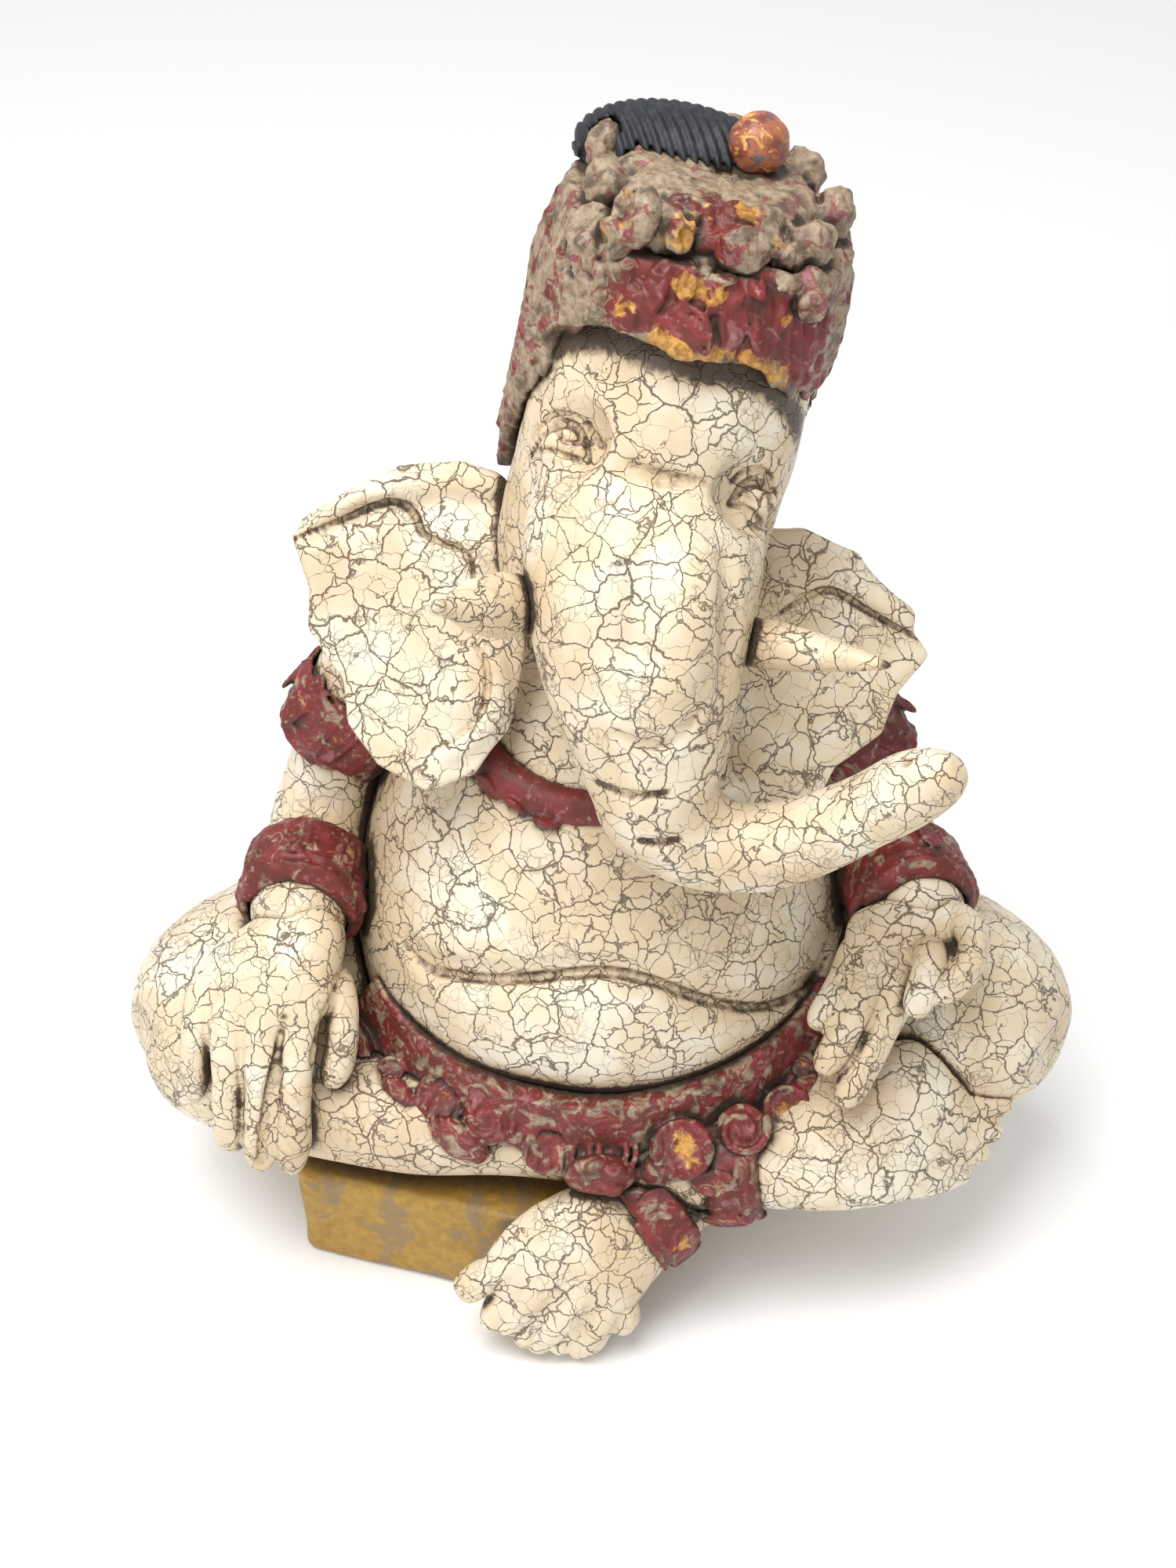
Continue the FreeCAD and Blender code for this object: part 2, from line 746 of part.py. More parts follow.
for number, side in enumerate(SIDES):
    arm = mass[f"{side}_arm"]
    arm_holes = (holes["shoulder_dowels"][number], holes["wrist_dowels"][number])
    parts[f"{side}_arm"] = cut(arm, torso, mass[f"{side}_thigh"], *arm_holes)
    hand = HANDS[f"{side}_hand"]
    palm = loft(f"{side}_palm", half_domed(hand["palm"]), hand["across"])
    fingers = digits(f"{side}_finger", hand["fingers"], hand["across"], "finger_radius", 0.25)
    mass[f"{side}_hand"] = fuse(f"{side}_hand_mass", palm, *fingers)
    below = (mass[f"{side}_shin"], mass[f"{side}_thigh"])
    parts[f"{side}_hand"] = cut(mass[f"{side}_hand"], arm, *below, torso, holes["wrist_dowels"][number])

for name in BANDS:
    side = name.split("_")[0]
    if name.endswith("anklet"):
        inside = (mass["right_shin"], mass["left_shin"], mass["right_foot"], mass["left_foot"], torso, seat)
    else:
        inside = (mass[f"{side}_arm"], mass[f"{side}_hand"], torso, mass[f"{side}_thigh"])
    mass[name] = make_band(name)
    parts[name] = cut(mass[name], *inside)

belt_neighbours = (torso, *legs, mass["left_foot"], mass["right_foot"])
parts["belt"] = cut(make_belt(), *belt_neighbours)

whole_trunk = rounded(TRUNK)
skull = loft("skull", SKULL, (0, 1, 0), axis=(0, 0, 1), frame=head_frame)
nose = loft("nose", whole_trunk[1:TRUNK_ON_HEAD + 1], (1, 0, 0), route=whole_trunk, first=1)
curl = loft("curl", whole_trunk[TRUNK_ON_HEAD:], (1, 0, 0), route=whole_trunk, first=TRUNK_ON_HEAD)
parts["trunk"] = cut(curl, *holes["trunk_dowel"])
face = fuse("face", skull, nose)

tusks = {}
sockets = []
for name in TUSKS:
    tusks[name], socket = make_tusk(name)
    sockets.append(socket)
head_holes = ("neck_dowel", "trunk_dowel", "ear_dowels", "crown_dowel")
parts["head"] = cut(face, torso, *sockets, *(hole for name in head_holes for hole in holes[name]))
for name, tusk in tusks.items():
    solid_face = cut(face, *sockets)
    parts[name] = cut(tusk, solid_face)

for number, (name, side) in enumerate((("right_ear", -1), ("left_ear", 1))):
    ear = make_ear(name, side)
    mass[name] = ear
    shoulder = mass[name.replace("ear", "arm")]
    parts[name] = cut(ear, face, torso, shoulder, holes["ear_dowels"][number])

whole_crown = make_crown()
crown = cut(whole_crown, brow_opening())
parts["crown"] = cut(crown, face, *holes["crown_dowel"])
upper_tier = make_upper_tier()
parts["crown_upper_tier"] = cut(upper_tier, whole_crown, *holes["crown_dowel"])

knot = doc.addObject("Part::Ellipsoid", "knot_mass")
bind(knot, "Radius1", "Sizes.knot_high")
bind(knot, "Radius2", "Sizes.knot_long")
bind(knot, "Radius3", "Sizes.knot_deep")
knot_centre = V(size("knot_x"), size("knot_y"), size("knot_z"))
knot.Placement = head_frame.multiply(FreeCAD.Placement(knot_centre, FreeCAD.Rotation()))
parts["topknot"] = cut(knot, upper_tier, crown, *holes["finial_dowel"])

ball_body = doc.addObject("PartDesign::Body", "ball_body")
ball_sketch = sketch_on(ball_body, "XZ_Plane", "ball_profile")
ball_radius = size("ball_radius")
ball_neck = size("ball_neck_radius")
neck_angle = math.asin(ball_neck / ball_radius)
neck_top = V(ball_neck, -ball_radius * math.cos(neck_angle), 0)
neck_foot = V(ball_neck, -1.6 * ball_radius, 0)
side_point = V(ball_radius, 0, 0)
pole = V(0, ball_radius, 0)
axis_foot = V(0, neck_foot.y, 0)
ball_sketch.addGeometry(Part.Arc(neck_top, side_point, pole), False)
ball_sketch.addGeometry(Part.LineSegment(pole, axis_foot), False)
ball_sketch.addGeometry(Part.LineSegment(axis_foot, neck_foot), False)
ball_sketch.addGeometry(Part.LineSegment(neck_foot, neck_top), False)
revolved(ball_body, ball_sketch)
ball_centre = V(size("ball_x"), size("ball_y"), size("ball_z"))
ball_body.Placement = head_frame.multiply(FreeCAD.Placement(ball_centre, FreeCAD.Rotation()))
parts["finial_ball"] = cut(ball_body, knot, upper_tier, *holes["finial_dowel"])

ring = doc.addObject("Part::Torus", "necklace_mass")
bind(ring, "Radius1", "Sizes.necklace_radius")
bind(ring, "Radius2", "Sizes.necklace_bead")
necklace_centre = V(0, size("necklace_y"), size("necklace_z"))
ring.Placement = FreeCAD.Placement(necklace_centre, FreeCAD.Rotation(V(1, 0, 0), size("necklace_tilt")))
neighbours = (torso, face, curl, mass["right_ear"], mass["left_ear"], mass["right_arm"], mass["left_arm"])
parts["necklace"] = cut(ring, *neighbours)

doc.recompute()

# ------------------------------------------------------------------ checks and files
failed = [thing.Name for thing in doc.Objects if "Invalid" in thing.State or "Error" in thing.State]
if failed:
    raise RuntimeError(f"these failed: {failed}")

os.makedirs("parts", exist_ok=True)
for name, part in parts.items():
    part.Label = name
    shape = part.Shape
    if shape.isNull() or not shape.isValid() or not shape.Solids:
        raise RuntimeError(f"{name} has no sound solid")
    shape.exportStep(os.path.join("parts", f"{name}.step"))
    print(f"{name}: {len(shape.Solids)} solid(s), {shape.Volume / 1000:.1f} cm3")
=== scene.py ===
import math
from collections import namedtuple

import bpy
import numpy as np
import openvdb
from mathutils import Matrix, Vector


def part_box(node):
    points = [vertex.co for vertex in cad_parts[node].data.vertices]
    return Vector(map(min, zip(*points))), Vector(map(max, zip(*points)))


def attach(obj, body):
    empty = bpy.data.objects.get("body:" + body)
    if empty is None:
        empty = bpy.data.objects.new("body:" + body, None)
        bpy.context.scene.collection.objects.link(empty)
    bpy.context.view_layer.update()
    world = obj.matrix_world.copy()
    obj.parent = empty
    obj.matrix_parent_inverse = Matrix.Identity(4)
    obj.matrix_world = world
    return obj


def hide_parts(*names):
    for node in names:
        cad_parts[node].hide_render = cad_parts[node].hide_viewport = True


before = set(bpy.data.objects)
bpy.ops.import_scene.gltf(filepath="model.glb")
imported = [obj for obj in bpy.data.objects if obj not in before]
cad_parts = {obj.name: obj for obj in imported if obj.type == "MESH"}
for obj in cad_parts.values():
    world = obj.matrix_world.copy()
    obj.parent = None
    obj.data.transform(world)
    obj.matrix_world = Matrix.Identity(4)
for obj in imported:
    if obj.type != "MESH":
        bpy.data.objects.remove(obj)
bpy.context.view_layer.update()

# A carved and painted idol. Every piece is sculpted here as a block of signed distances ("clay"): it starts
# from the CAD solids, is smoothed, and then gets folds, fingers, eyes and ornament cut into it or built up
# on it. Metres, +X the figure's left, +Y behind it, +Z up. "right" and "left" are the figure's own.

MM = 0.001
FAR = 30 * MM
SIGHT = 200 * MM


def vector(*numbers):
    return np.array(numbers, dtype=float)


def unit(arrow):
    return arrow / np.linalg.norm(arrow)


def middle(node):
    """The middle of a CAD node's box."""
    low, high = (vector(*corner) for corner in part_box(node))
    return (low + high) / 2


# ---------- clay
class Clay:
    """Signed distances on a grid whose voxel (i, j, k) sits at (i, j, k) times the voxel's size."""

    def __init__(self, low, high, voxel):
        self.voxel = voxel
        self.first = np.floor(vector(*low) / voxel).astype(int) - 4
        last = np.ceil(vector(*high) / voxel).astype(int) + 4
        self.shape = tuple(last - self.first + 1)
        self.field = np.full(self.shape, FAR, dtype=np.float32)
        # Dark marks added to the shade attribute: painted shade along grooves, in the nostril and under the
        # crown's brim, and wear on a tusk's point.
        self.shade_and_stains = []
        self.patches = []

    def window(self, low, high):
        """The slices and the coordinates of the voxels between two corners."""
        start = np.clip(np.floor(vector(*low) / self.voxel).astype(int) - self.first, 0, self.shape)
        stop = np.clip(np.ceil(vector(*high) / self.voxel).astype(int) - self.first + 1, 0, self.shape)
        part = tuple(slice(a, b) for a, b in zip(start, stop))
        lines = [
            ((np.arange(a, b) + first) * self.voxel).astype(np.float32)
            for a, b, first in zip(start, stop, self.first)
        ]
        return part, np.meshgrid(*lines, indexing="ij", sparse=True)

    def add(self, form, blend=0.0):
        """Adds a form, with a soft fillet of about the blend's size."""
        low, high, distance = form
        part, grid = self.window(low - blend - 4 * self.voxel, high + blend + 4 * self.voxel)
        if self.field[part].size:
            self.field[part] = soft_min(self.field[part], distance(*grid), blend)

    def cut(self, form, blend=0.0):
        """Takes a form away, with softly rounded rims."""
        low, high, distance = form
        part, grid = self.window(low - blend - 2 * self.voxel, high + blend + 2 * self.voxel)
        if self.field[part].size:
            self.field[part] = -soft_min(-self.field[part], distance(*grid), blend)

    def raise_by(self, relief):
        """Moves the surface outwards by a height in metres, given for every voxel."""
        part, grid = self.window(self.first * self.voxel, (self.first + self.shape) * self.voxel)
        self.field[part] -= relief(*grid)

    def soften(self, passes):
        """Averages each voxel with its neighbours, which rounds creases and edges."""
        for _ in range(passes):
            for axis in range(3):
                before = np.roll(self.field, 1, axis)
                after = np.roll(self.field, -1, axis)
                self.field = (before + 2 * self.field + after) / 4

    def sample(self, points):
        """The distance at each point, interpolated between voxels."""
        where = points / self.voxel - self.first
        where = np.clip(where, 0, np.array(self.shape) - 1.001)
        cell = where.astype(int)
        part = (where - cell).astype(np.float32)
        total = 0
        for corner in np.ndindex(2, 2, 2):
            weight = np.prod(np.where(corner, part, 1 - part), axis=1)
            i, j, k = (cell + corner).T
            total = total + weight * self.field[i, j, k]
        return total

    def surface(self, point, towards):
        """The first point of the surface on the way from a point outside, or nothing."""
        step = unit(towards) * self.voxel / 2
        trail = point + np.outer(np.arange(int(SIGHT / self.voxel * 2)), step)
        inside = np.nonzero(self.sample(trail) < 0)[0]
        return trail[inside[0]] if len(inside) else None

    def touches(self, point):
        """Whether the point lies on the surface, within two voxels."""
        return abs(self.sample(np.atleast_2d(point))[0]) < 2 * self.voxel

    def outward(self, point):
        """The direction straight out of the surface."""
        nudges = np.eye(3) * 2 * self.voxel
        return unit(self.sample(point + nudges) - self.sample(point - nudges))

    def mesh(self):
        """The surface's points and four-cornered faces."""
        grid = openvdb.FloatGrid(FAR)
        grid.copyFromArray(self.field, ijk=tuple(int(n) for n in self.first))
        grid.transform = openvdb.createLinearTransform(voxelSize=self.voxel)
        points, quads = grid.convertToQuads(0.0)
        return np.array(points, dtype=float), np.array(quads)


def soft_min(one, other, blend):
    if blend <= 0:
        return np.minimum(one, other)
    gap = np.maximum(blend - np.abs(one - other), 0) / blend
    return np.minimum(one, other) - gap * gap * (blend / 4)


def from_nodes(names, voxel, room=0.0, blend=0.0):
    """Clay that starts as CAD solids, joined with a soft fillet."""
    boxes = [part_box(name) for name in names]
    low = np.min([box[0] for box in boxes], axis=0) - room
    high = np.max([box[1] for box in boxes], axis=0) + room
    clay = Clay(low, high, voxel)
    for name in names:
        clay.field = soft_min(clay.field, node_field(name, clay), blend)
    return clay


def node_field(name, clay, band=10):
    """The distance to one CAD solid, on the clay's own grid."""
    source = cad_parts[name].data
    count = len(source.vertices)
    points = np.empty(count * 3, dtype=np.float32)
    source.vertices.foreach_get("co", points)
    source.calc_loop_triangles()
    corners = np.empty(len(source.loop_triangles) * 3, dtype=np.int32)
    source.loop_triangles.foreach_get("vertices", corners)
    transform = openvdb.createLinearTransform(voxelSize=clay.voxel)
    grid = openvdb.FloatGrid.createLevelSetFromPolygons(
        points.reshape(-1, 3), triangles=corners.reshape(-1, 3).astype(np.uint32),
        transform=transform, halfWidth=band,
    )
    out = np.empty(clay.shape, dtype=np.float32)
    grid.copyToArray(out, ijk=tuple(int(n) for n in clay.first))
    return out


# ---------- forms to add or cut
def ball(centre, radii, turn=None):
    """An ellipsoid. turn's rows are its three axes."""
    centre, radii = vector(*centre), vector(*radii)
    reach = radii if turn is None else np.full(3, radii.max())

    def distance(x, y, z):
        p = [x - centre[0], y - centre[1], z - centre[2]]
        if turn is not None:
            p = [axis[0] * p[0] + axis[1] * p[1] + axis[2] * p[2] for axis in turn]
        near = np.sqrt(sum((q / r) ** 2 for q, r in zip(p, radii)))
        slope = np.sqrt(sum((q / r**2) ** 2 for q, r in zip(p, radii)))
        return near * (near - 1) / np.maximum(slope, 1e-6)

    return centre - reach, centre + reach, distance


def rod(start, stop, start_radius, stop_radius):
    """A round-ended rod that tapers."""
    start, stop = vector(*start), vector(*stop)
    along = stop - start
    length = max(float(along @ along), 1e-12)
    biggest = max(start_radius, stop_radius)

    def distance(x, y, z):
        part = ((x - start[0]) * along[0] + (y - start[1]) * along[1] + (z - start[2]) * along[2]) / length
        part = np.clip(part, 0, 1)
        dx = x - start[0] - part * along[0]
        dy = y - start[1] - part * along[1]
        dz = z - start[2] - part * along[2]
        return np.sqrt(dx * dx + dy * dy + dz * dz) - (start_radius + part * (stop_radius - start_radius))

    return np.minimum(start, stop) - biggest, np.maximum(start, stop) + biggest, distance


def smooth_line(points, steps=4):
    """Points along a smooth curve that passes through the given ones."""
    points = np.array(points, dtype=float)
    padded = np.vstack([2 * points[0] - points[1], points, 2 * points[-1] - points[-2]])
    out = []
    for a, b, c, d in zip(padded, padded[1:], padded[2:], padded[3:]):
        for part in np.arange(steps) / steps:
            out.append(
                0.5 * (2 * b + (c - a) * part + (2 * a - 5 * b + 4 * c - d) * part**2
                       + (3 * b - a - 3 * c + d) * part**3)
            )
    out.append(points[-1])
    return np.array(out)


def union(forms):
    """Several forms as one."""
    low = np.min([form[0] for form in forms], axis=0)
    high = np.max([form[1] for form in forms], axis=0)

    def distance(x, y, z):
        total = forms[0][2](x, y, z)
        for form in forms[1:]:
            total = np.minimum(total, form[2](x, y, z))
        return total

    return low, high, distance


WAVES = 7


def noise(x, y, z, size, seed=0):
    """A smooth bumpy field between about -1 and 1, as a few sine waves that cross at odd angles."""
    random = np.random.default_rng(seed)
    total = 0
    for _ in range(WAVES):
        way = unit(random.normal(size=3)) * (2 * math.pi / size) * random.uniform(0.6, 1.4)
        total = total + np.sin(x * way[0] + y * way[1] + z * way[2] + random.uniform(0, 6.28))
    return total / (WAVES / 2)


# ---------- materials
class Paint:
    """A node material that ends in one Principled shader."""

    def __init__(self, name, shine=0.5):
        self.material = bpy.data.materials.new(name)
        self.material.use_nodes = True
        self.nodes = self.material.node_tree.nodes
        self.links = self.material.node_tree.links
        self.shader = self.nodes["Principled BSDF"]
        self.shader.inputs["Specular IOR Level"].default_value = shine
        self.place = self.nodes.new("ShaderNodeTexCoord").outputs["Object"]

    def put(self, socket, value):
        if isinstance(value, bpy.types.NodeSocket):
            self.links.new(value, socket)
        else:
            socket.default_value = value

    def math(self, operation, one, other):
        node = self.nodes.new("ShaderNodeMath")
        node.operation = operation
        for socket, value in zip(node.inputs, (one, other)):
            self.put(socket, value)
        return node.outputs[0]

    def ramp(self, value, low, high, start=0.0, stop=1.0):
        """Runs smoothly from start to stop as the value goes from low to high."""
        node = self.nodes.new("ShaderNodeMapRange")
        node.interpolation_type = "SMOOTHSTEP"
        for socket, number in zip(node.inputs, (value, low, high, start, stop)):
            self.put(socket, number)
        return node.outputs[0]

    def attribute(self, name):
        node = self.nodes.new("ShaderNodeAttribute")
        node.attribute_name = name
        return node.outputs["Fac"]

    def noise(self, size, detail=3.0, rough=0.55, warp=0.0, place=None):
        """Cloudy noise whose lumps are about size metres across."""
        node = self.nodes.new("ShaderNodeTexNoise")
        self.put(node.inputs["Vector"], place or self.place)
        node.inputs["Scale"].default_value = 1 / size
        node.inputs["Detail"].default_value = detail
        node.inputs["Roughness"].default_value = rough
        node.inputs["Distortion"].default_value = warp
        return node

    def shifted(self, size, amount, fine_size=0.0, fine_amount=0.0):
        """The place, pushed about by noise, so that lines drawn from it wander."""
        place = self.pushed(self.place, size, amount)
        return self.pushed(place, fine_size, fine_amount) if fine_size else place

    def pushed(self, place, size, amount):
        wander = self.noise(size, 2.0).outputs["Color"]
        centred = self.nodes.new("ShaderNodeVectorMath")
        centred.operation = "SUBTRACT"
        self.put(centred.inputs[0], wander)
        centred.inputs[1].default_value = (0.5, 0.5, 0.5)
        scaled = self.nodes.new("ShaderNodeVectorMath")
        scaled.operation = "MULTIPLY_ADD"
        self.put(scaled.inputs[0], centred.outputs[0])
        scaled.inputs[1].default_value = (amount,) * 3
        self.put(scaled.inputs[2], place)
        return scaled.outputs[0]

    def cell_offset(self, size, place):
        """The place, moved far by a different amount in each cell, so that a net drawn from it breaks
        off at the cells' edges."""
        node = self.nodes.new("ShaderNodeTexVoronoi")
        self.put(node.inputs["Vector"], place)
        node.inputs["Scale"].default_value = 1 / size
        node.inputs["Randomness"].default_value = 0.9
        moved = self.nodes.new("ShaderNodeVectorMath")
        moved.operation = "ADD"
        self.put(moved.inputs[0], node.outputs["Color"])
        self.put(moved.inputs[1], place)
        return moved.outputs[0]

    def cells(self, size, place, randomness=0.9):
        """The distance to the nearest crack of a network of cells, in cells."""
        node = self.nodes.new("ShaderNodeTexVoronoi")
        node.feature = "DISTANCE_TO_EDGE"
        self.put(node.inputs["Vector"], place)
        node.inputs["Scale"].default_value = 1 / size
        node.inputs["Randomness"].default_value = randomness
        return node.outputs["Distance"]

    def mix(self, amount, one, other):
        node = self.nodes.new("ShaderNodeMix")
        node.data_type = "RGBA"
        self.put(node.inputs["Factor"], amount)
        for name, colour in (("A", one), ("B", other)):
            socket = next(s for s in node.inputs if s.name == name and s.type == "RGBA")
            self.put(socket, colour if isinstance(colour, bpy.types.NodeSocket) else (*colour, 1.0))
        return next(s for s in node.outputs if s.type == "RGBA")

    def finish(self, colour, roughness, height, depth):
        """Connects colour, roughness and a height of depth metres, and gives the material."""
        bump = self.nodes.new("ShaderNodeBump")
        bump.inputs["Distance"].default_value = depth
        self.put(bump.inputs["Height"], height)
        self.links.new(bump.outputs[0], self.shader.inputs["Normal"])
        self.put(self.shader.inputs["Base Color"], colour)
        self.put(self.shader.inputs["Roughness"], roughness)
        return self.material


CREAM = (0.70, 0.59, 0.41)
IVORY = (0.78, 0.71, 0.57)
# The warm beige is both a random tone of the paint and painted shade in its hollows; the dark brown after it
# is painted shade with dirt, for the deepest hollows.
BEIGE_TONE_AND_SHADE = (0.58, 0.43, 0.26)
DIRT_AND_SHADE_BROWN = (0.085, 0.058, 0.038)
CRACK = (0.085, 0.052, 0.03)
WIDE_CELL = 0.0140
FINE_CELL = 0.0074
HAIR_CELL = 0.0036


def crackle_white():
    """Ivory paint that has dried into cracks over a dark brown ground: a wide net, and finer nets that
    stop at its lines."""
    paint = Paint("crackle_white", 0.45)
    wander = paint.shifted(0.010, 0.006, 0.0026, 0.0024)
    wide = paint.ramp(paint.noise(0.03).outputs[0], 0.35, 0.7, 0.014, 0.036)
    main = paint.math("SUBTRACT", 1.0, paint.ramp(paint.cells(WIDE_CELL, wander), 0.0, wide))
    apart = paint.cell_offset(WIDE_CELL, wander)
    fine_wide = paint.ramp(paint.noise(0.012).outputs[0], 0.4, 0.7, 0.006, 0.055)
    fine = paint.math("SUBTRACT", 1.0, paint.ramp(paint.cells(FINE_CELL, apart), 0.0, fine_wide))
    hair = paint.math("SUBTRACT", 1.0, paint.ramp(paint.cells(HAIR_CELL, apart, 0.8), 0.0, 0.05))
    where = paint.ramp(paint.noise(0.018).outputs[0], 0.52, 0.62, 0.0, 0.45)
    cracks = paint.math("MAXIMUM", main, paint.math("MULTIPLY", fine, 0.9))
    cracks = paint.math("MAXIMUM", cracks, paint.math("MULTIPLY", hair, where))
    patches = paint.ramp(paint.noise(0.05, 4.0).outputs[0], 0.4, 0.66, 0.0, 0.75)
    pale = paint.ramp(paint.noise(0.03, 2.0, place=paint.shifted(0.05, 0.05)).outputs[0], 0.4, 0.6)
    # The attribute below is painted shade in hollows, creases and between parts, with dirt there too; the
    # hollow, speck and smear mixes that follow darken the paint by it.
    grime_and_shade = paint.attribute("grime_and_shade")
    hollow = paint.ramp(grime_and_shade, 0.1, 0.7, 0.0, 0.8)
    speck = paint.ramp(paint.noise(0.0012, 2.0).outputs[0], 0.62, 0.75, 0.0, 0.5)
    smeared_grime_and_shade = paint.math("ADD", grime_and_shade, paint.ramp(paint.noise(0.003, 4.0).outputs[0], 0.3, 0.7, -0.15, 0.15))
    colour = paint.mix(pale, CREAM, IVORY)
    colour = paint.mix(patches, colour, BEIGE_TONE_AND_SHADE)
    # Painted shade: hollows turn beige, then darker with dirt specks and smears.
    colour = paint.mix(hollow, colour, BEIGE_TONE_AND_SHADE)
    colour = paint.mix(paint.math("MULTIPLY", speck, hollow), colour, DIRT_AND_SHADE_BROWN)
    colour = paint.mix(paint.ramp(smeared_grime_and_shade, 0.42, 0.95), colour, DIRT_AND_SHADE_BROWN)
    colour = paint.mix(paint.math("MULTIPLY", cracks, 0.92), colour, CRACK)
    height = paint.math("SUBTRACT", paint.math("MULTIPLY", paint.noise(0.004, 4.0).outputs[0], 0.3), cracks)
    roughness = paint.ramp(paint.noise(0.015).outputs[0], 0.3, 0.7, 0.36, 0.5)
    return paint.finish(colour, roughness, height, 0.0005)


DARK_WOOD = (0.07, 0.045, 0.028)
TAUPE = (0.23, 0.16, 0.10)
PALE_TAUPE = (0.36, 0.28, 0.19)
BURGUNDY = (0.12, 0.018, 0.012)
CRIMSON = (0.20, 0.022, 0.024)
MAUVE = (0.33, 0.14, 0.15)
GOLD = (0.62, 0.33, 0.06)
DULL_GOLD = (0.34, 0.15, 0.03)
SLATE = (0.16, 0.19, 0.24)
# The last colour is painted shade with soot, for the ornament's hollows.
SOOT_AND_SHADE = (0.05, 0.035, 0.025)


def ornament():
    """Carved wood with worn red paint and flakes of gold, where the clay's red and gold say so."""
    paint = Paint("red_gold_ornament", 0.45)
    grime_and_shade = paint.attribute("grime_and_shade")
    worn = paint.noise(0.009, 5.0, 0.65, 0.4).outputs[0]
    scuffs = paint.noise(0.0026, 4.0, 0.6).outputs[0]
    streaks = paint.noise(0.006, 4.0, 0.6, 0.8, place=paint.shifted(0.02, 0.01)).outputs[0]
    wood = paint.mix(paint.ramp(scuffs, 0.35, 0.65), TAUPE, PALE_TAUPE)
    wood = paint.mix(paint.ramp(worn, 0.5, 0.36, 0.0, 0.8), wood, DARK_WOOD)
    wood = paint.mix(paint.ramp(streaks, 0.64, 0.68, 0.0, 0.7), wood, SLATE)
    crimson = paint.mix(paint.ramp(worn, 0.42, 0.62), BURGUNDY, CRIMSON)
    crimson = paint.mix(paint.ramp(streaks, 0.58, 0.68, 0.0, 0.55), crimson, MAUVE)
    redness = paint.math("ADD", paint.attribute("red"), streaks)
    colour = paint.mix(paint.ramp(redness, 0.86, 0.98), wood, crimson)
    gilding = paint.math("ADD", paint.attribute("gold"), worn)
    gilt = paint.ramp(gilding, 0.9, 0.98, 0.0, 0.9)
    metal = paint.mix(paint.ramp(scuffs, 0.4, 0.62), DULL_GOLD, GOLD)
    colour = paint.mix(gilt, colour, metal)
    dust = paint.ramp(scuffs, 0.62, 0.7, 0.0, 0.45)
    colour = paint.mix(dust, colour, PALE_TAUPE)
    # Painted shade, with soot: hollows and the spots between parts go near black.
    colour = paint.mix(paint.ramp(grime_and_shade, 0.35, 0.95, 0.0, 0.9), colour, SOOT_AND_SHADE)
    height = paint.math("ADD", paint.math("MULTIPLY", worn, 0.5), paint.math("MULTIPLY", scuffs, 0.5))
    roughness = paint.ramp(gilt, 0.0, 1.0, 0.5, 0.34)
    return paint.finish(colour, roughness, height, 0.0007)


OCHRE = (0.33, 0.185, 0.03)
BRIGHT_OCHRE = (0.44, 0.26, 0.045)
WORN_OCHRE = (0.25, 0.175, 0.095)
# The last colour is painted shade with dirt, for where the seat is closed in.
SEAT_DIRT_AND_SHADE = (0.08, 0.05, 0.03)


def gold_seat():
    """Ochre paint, brushed on in thin coats and worn to grey-brown in places."""
    paint = Paint("gold_seat", 0.4)
    grime_and_shade = paint.attribute("grime_and_shade")
    patches = paint.noise(0.022, 5.0, 0.65, 0.5).outputs[0]
    brush = paint.noise(0.004, 3.0, 0.6).outputs[0]
    colour = paint.mix(paint.ramp(brush, 0.3, 0.7), OCHRE, BRIGHT_OCHRE)
    colour = paint.mix(paint.ramp(patches, 0.5, 0.56, 0.0, 0.75), colour, WORN_OCHRE)
    # Painted shade, with dirt: the seat darkens where it is closed in, as under the figure.
    colour = paint.mix(paint.ramp(grime_and_shade, 0.25, 0.9), colour, SEAT_DIRT_AND_SHADE)
    return paint.finish(colour, 0.5, paint.math("ADD", patches, brush), 0.0005)


CHARCOAL = (0.016, 0.018, 0.022)
HAIR_DUST = (0.042, 0.045, 0.05)


def dark_hair():
    """Matt charcoal paint with a blue cast."""
    paint = Paint("dark_hair", 0.35)
    dust = paint.noise(0.004, 4.0).outputs[0]
    colour = paint.mix(paint.ramp(dust, 0.4, 0.7, 0.0, 0.7), CHARCOAL, HAIR_DUST)
    return paint.finish(colour, 0.55, dust, 0.0004)


COPPER = (0.36, 0.12, 0.05)
RUST = (0.20, 0.045, 0.03)
RUBBED_GOLD = (0.58, 0.33, 0.10)
BALL_SLATE = (0.10, 0.10, 0.12)


def copper_ball():
    """Copper, red, ochre and slate rubbed through each other."""
    paint = Paint("copper_ball", 0.5)
    one = paint.noise(0.006, 4.0, 0.6, 0.5).outputs[0]
    two = paint.noise(0.004, 4.0, 0.6, 0.8, place=paint.shifted(0.02, 0.02)).outputs[0]
    colour = paint.mix(paint.ramp(one, 0.45, 0.6), COPPER, RUST)
    colour = paint.mix(paint.ramp(two, 0.55, 0.62), colour, RUBBED_GOLD)
    colour = paint.mix(paint.ramp(two, 0.42, 0.36, 0.0, 0.85), colour, BALL_SLATE)
    return paint.finish(colour, 0.38, paint.math("ADD", one, two), 0.0004)


PEG_BROWN = (0.42, 0.28, 0.16)
PEG_PALE = (0.60, 0.44, 0.28)


def bare_wood():
    """Turned dowel, with its grain along the peg."""
    paint = Paint("bare_wood")
    grain = paint.noise(0.003, 5.0, 0.6, 1.5).outputs[0]
    colour = paint.mix(grain, PEG_BROWN, PEG_PALE)
    return paint.finish(colour, 0.6, grain, 0.0003)


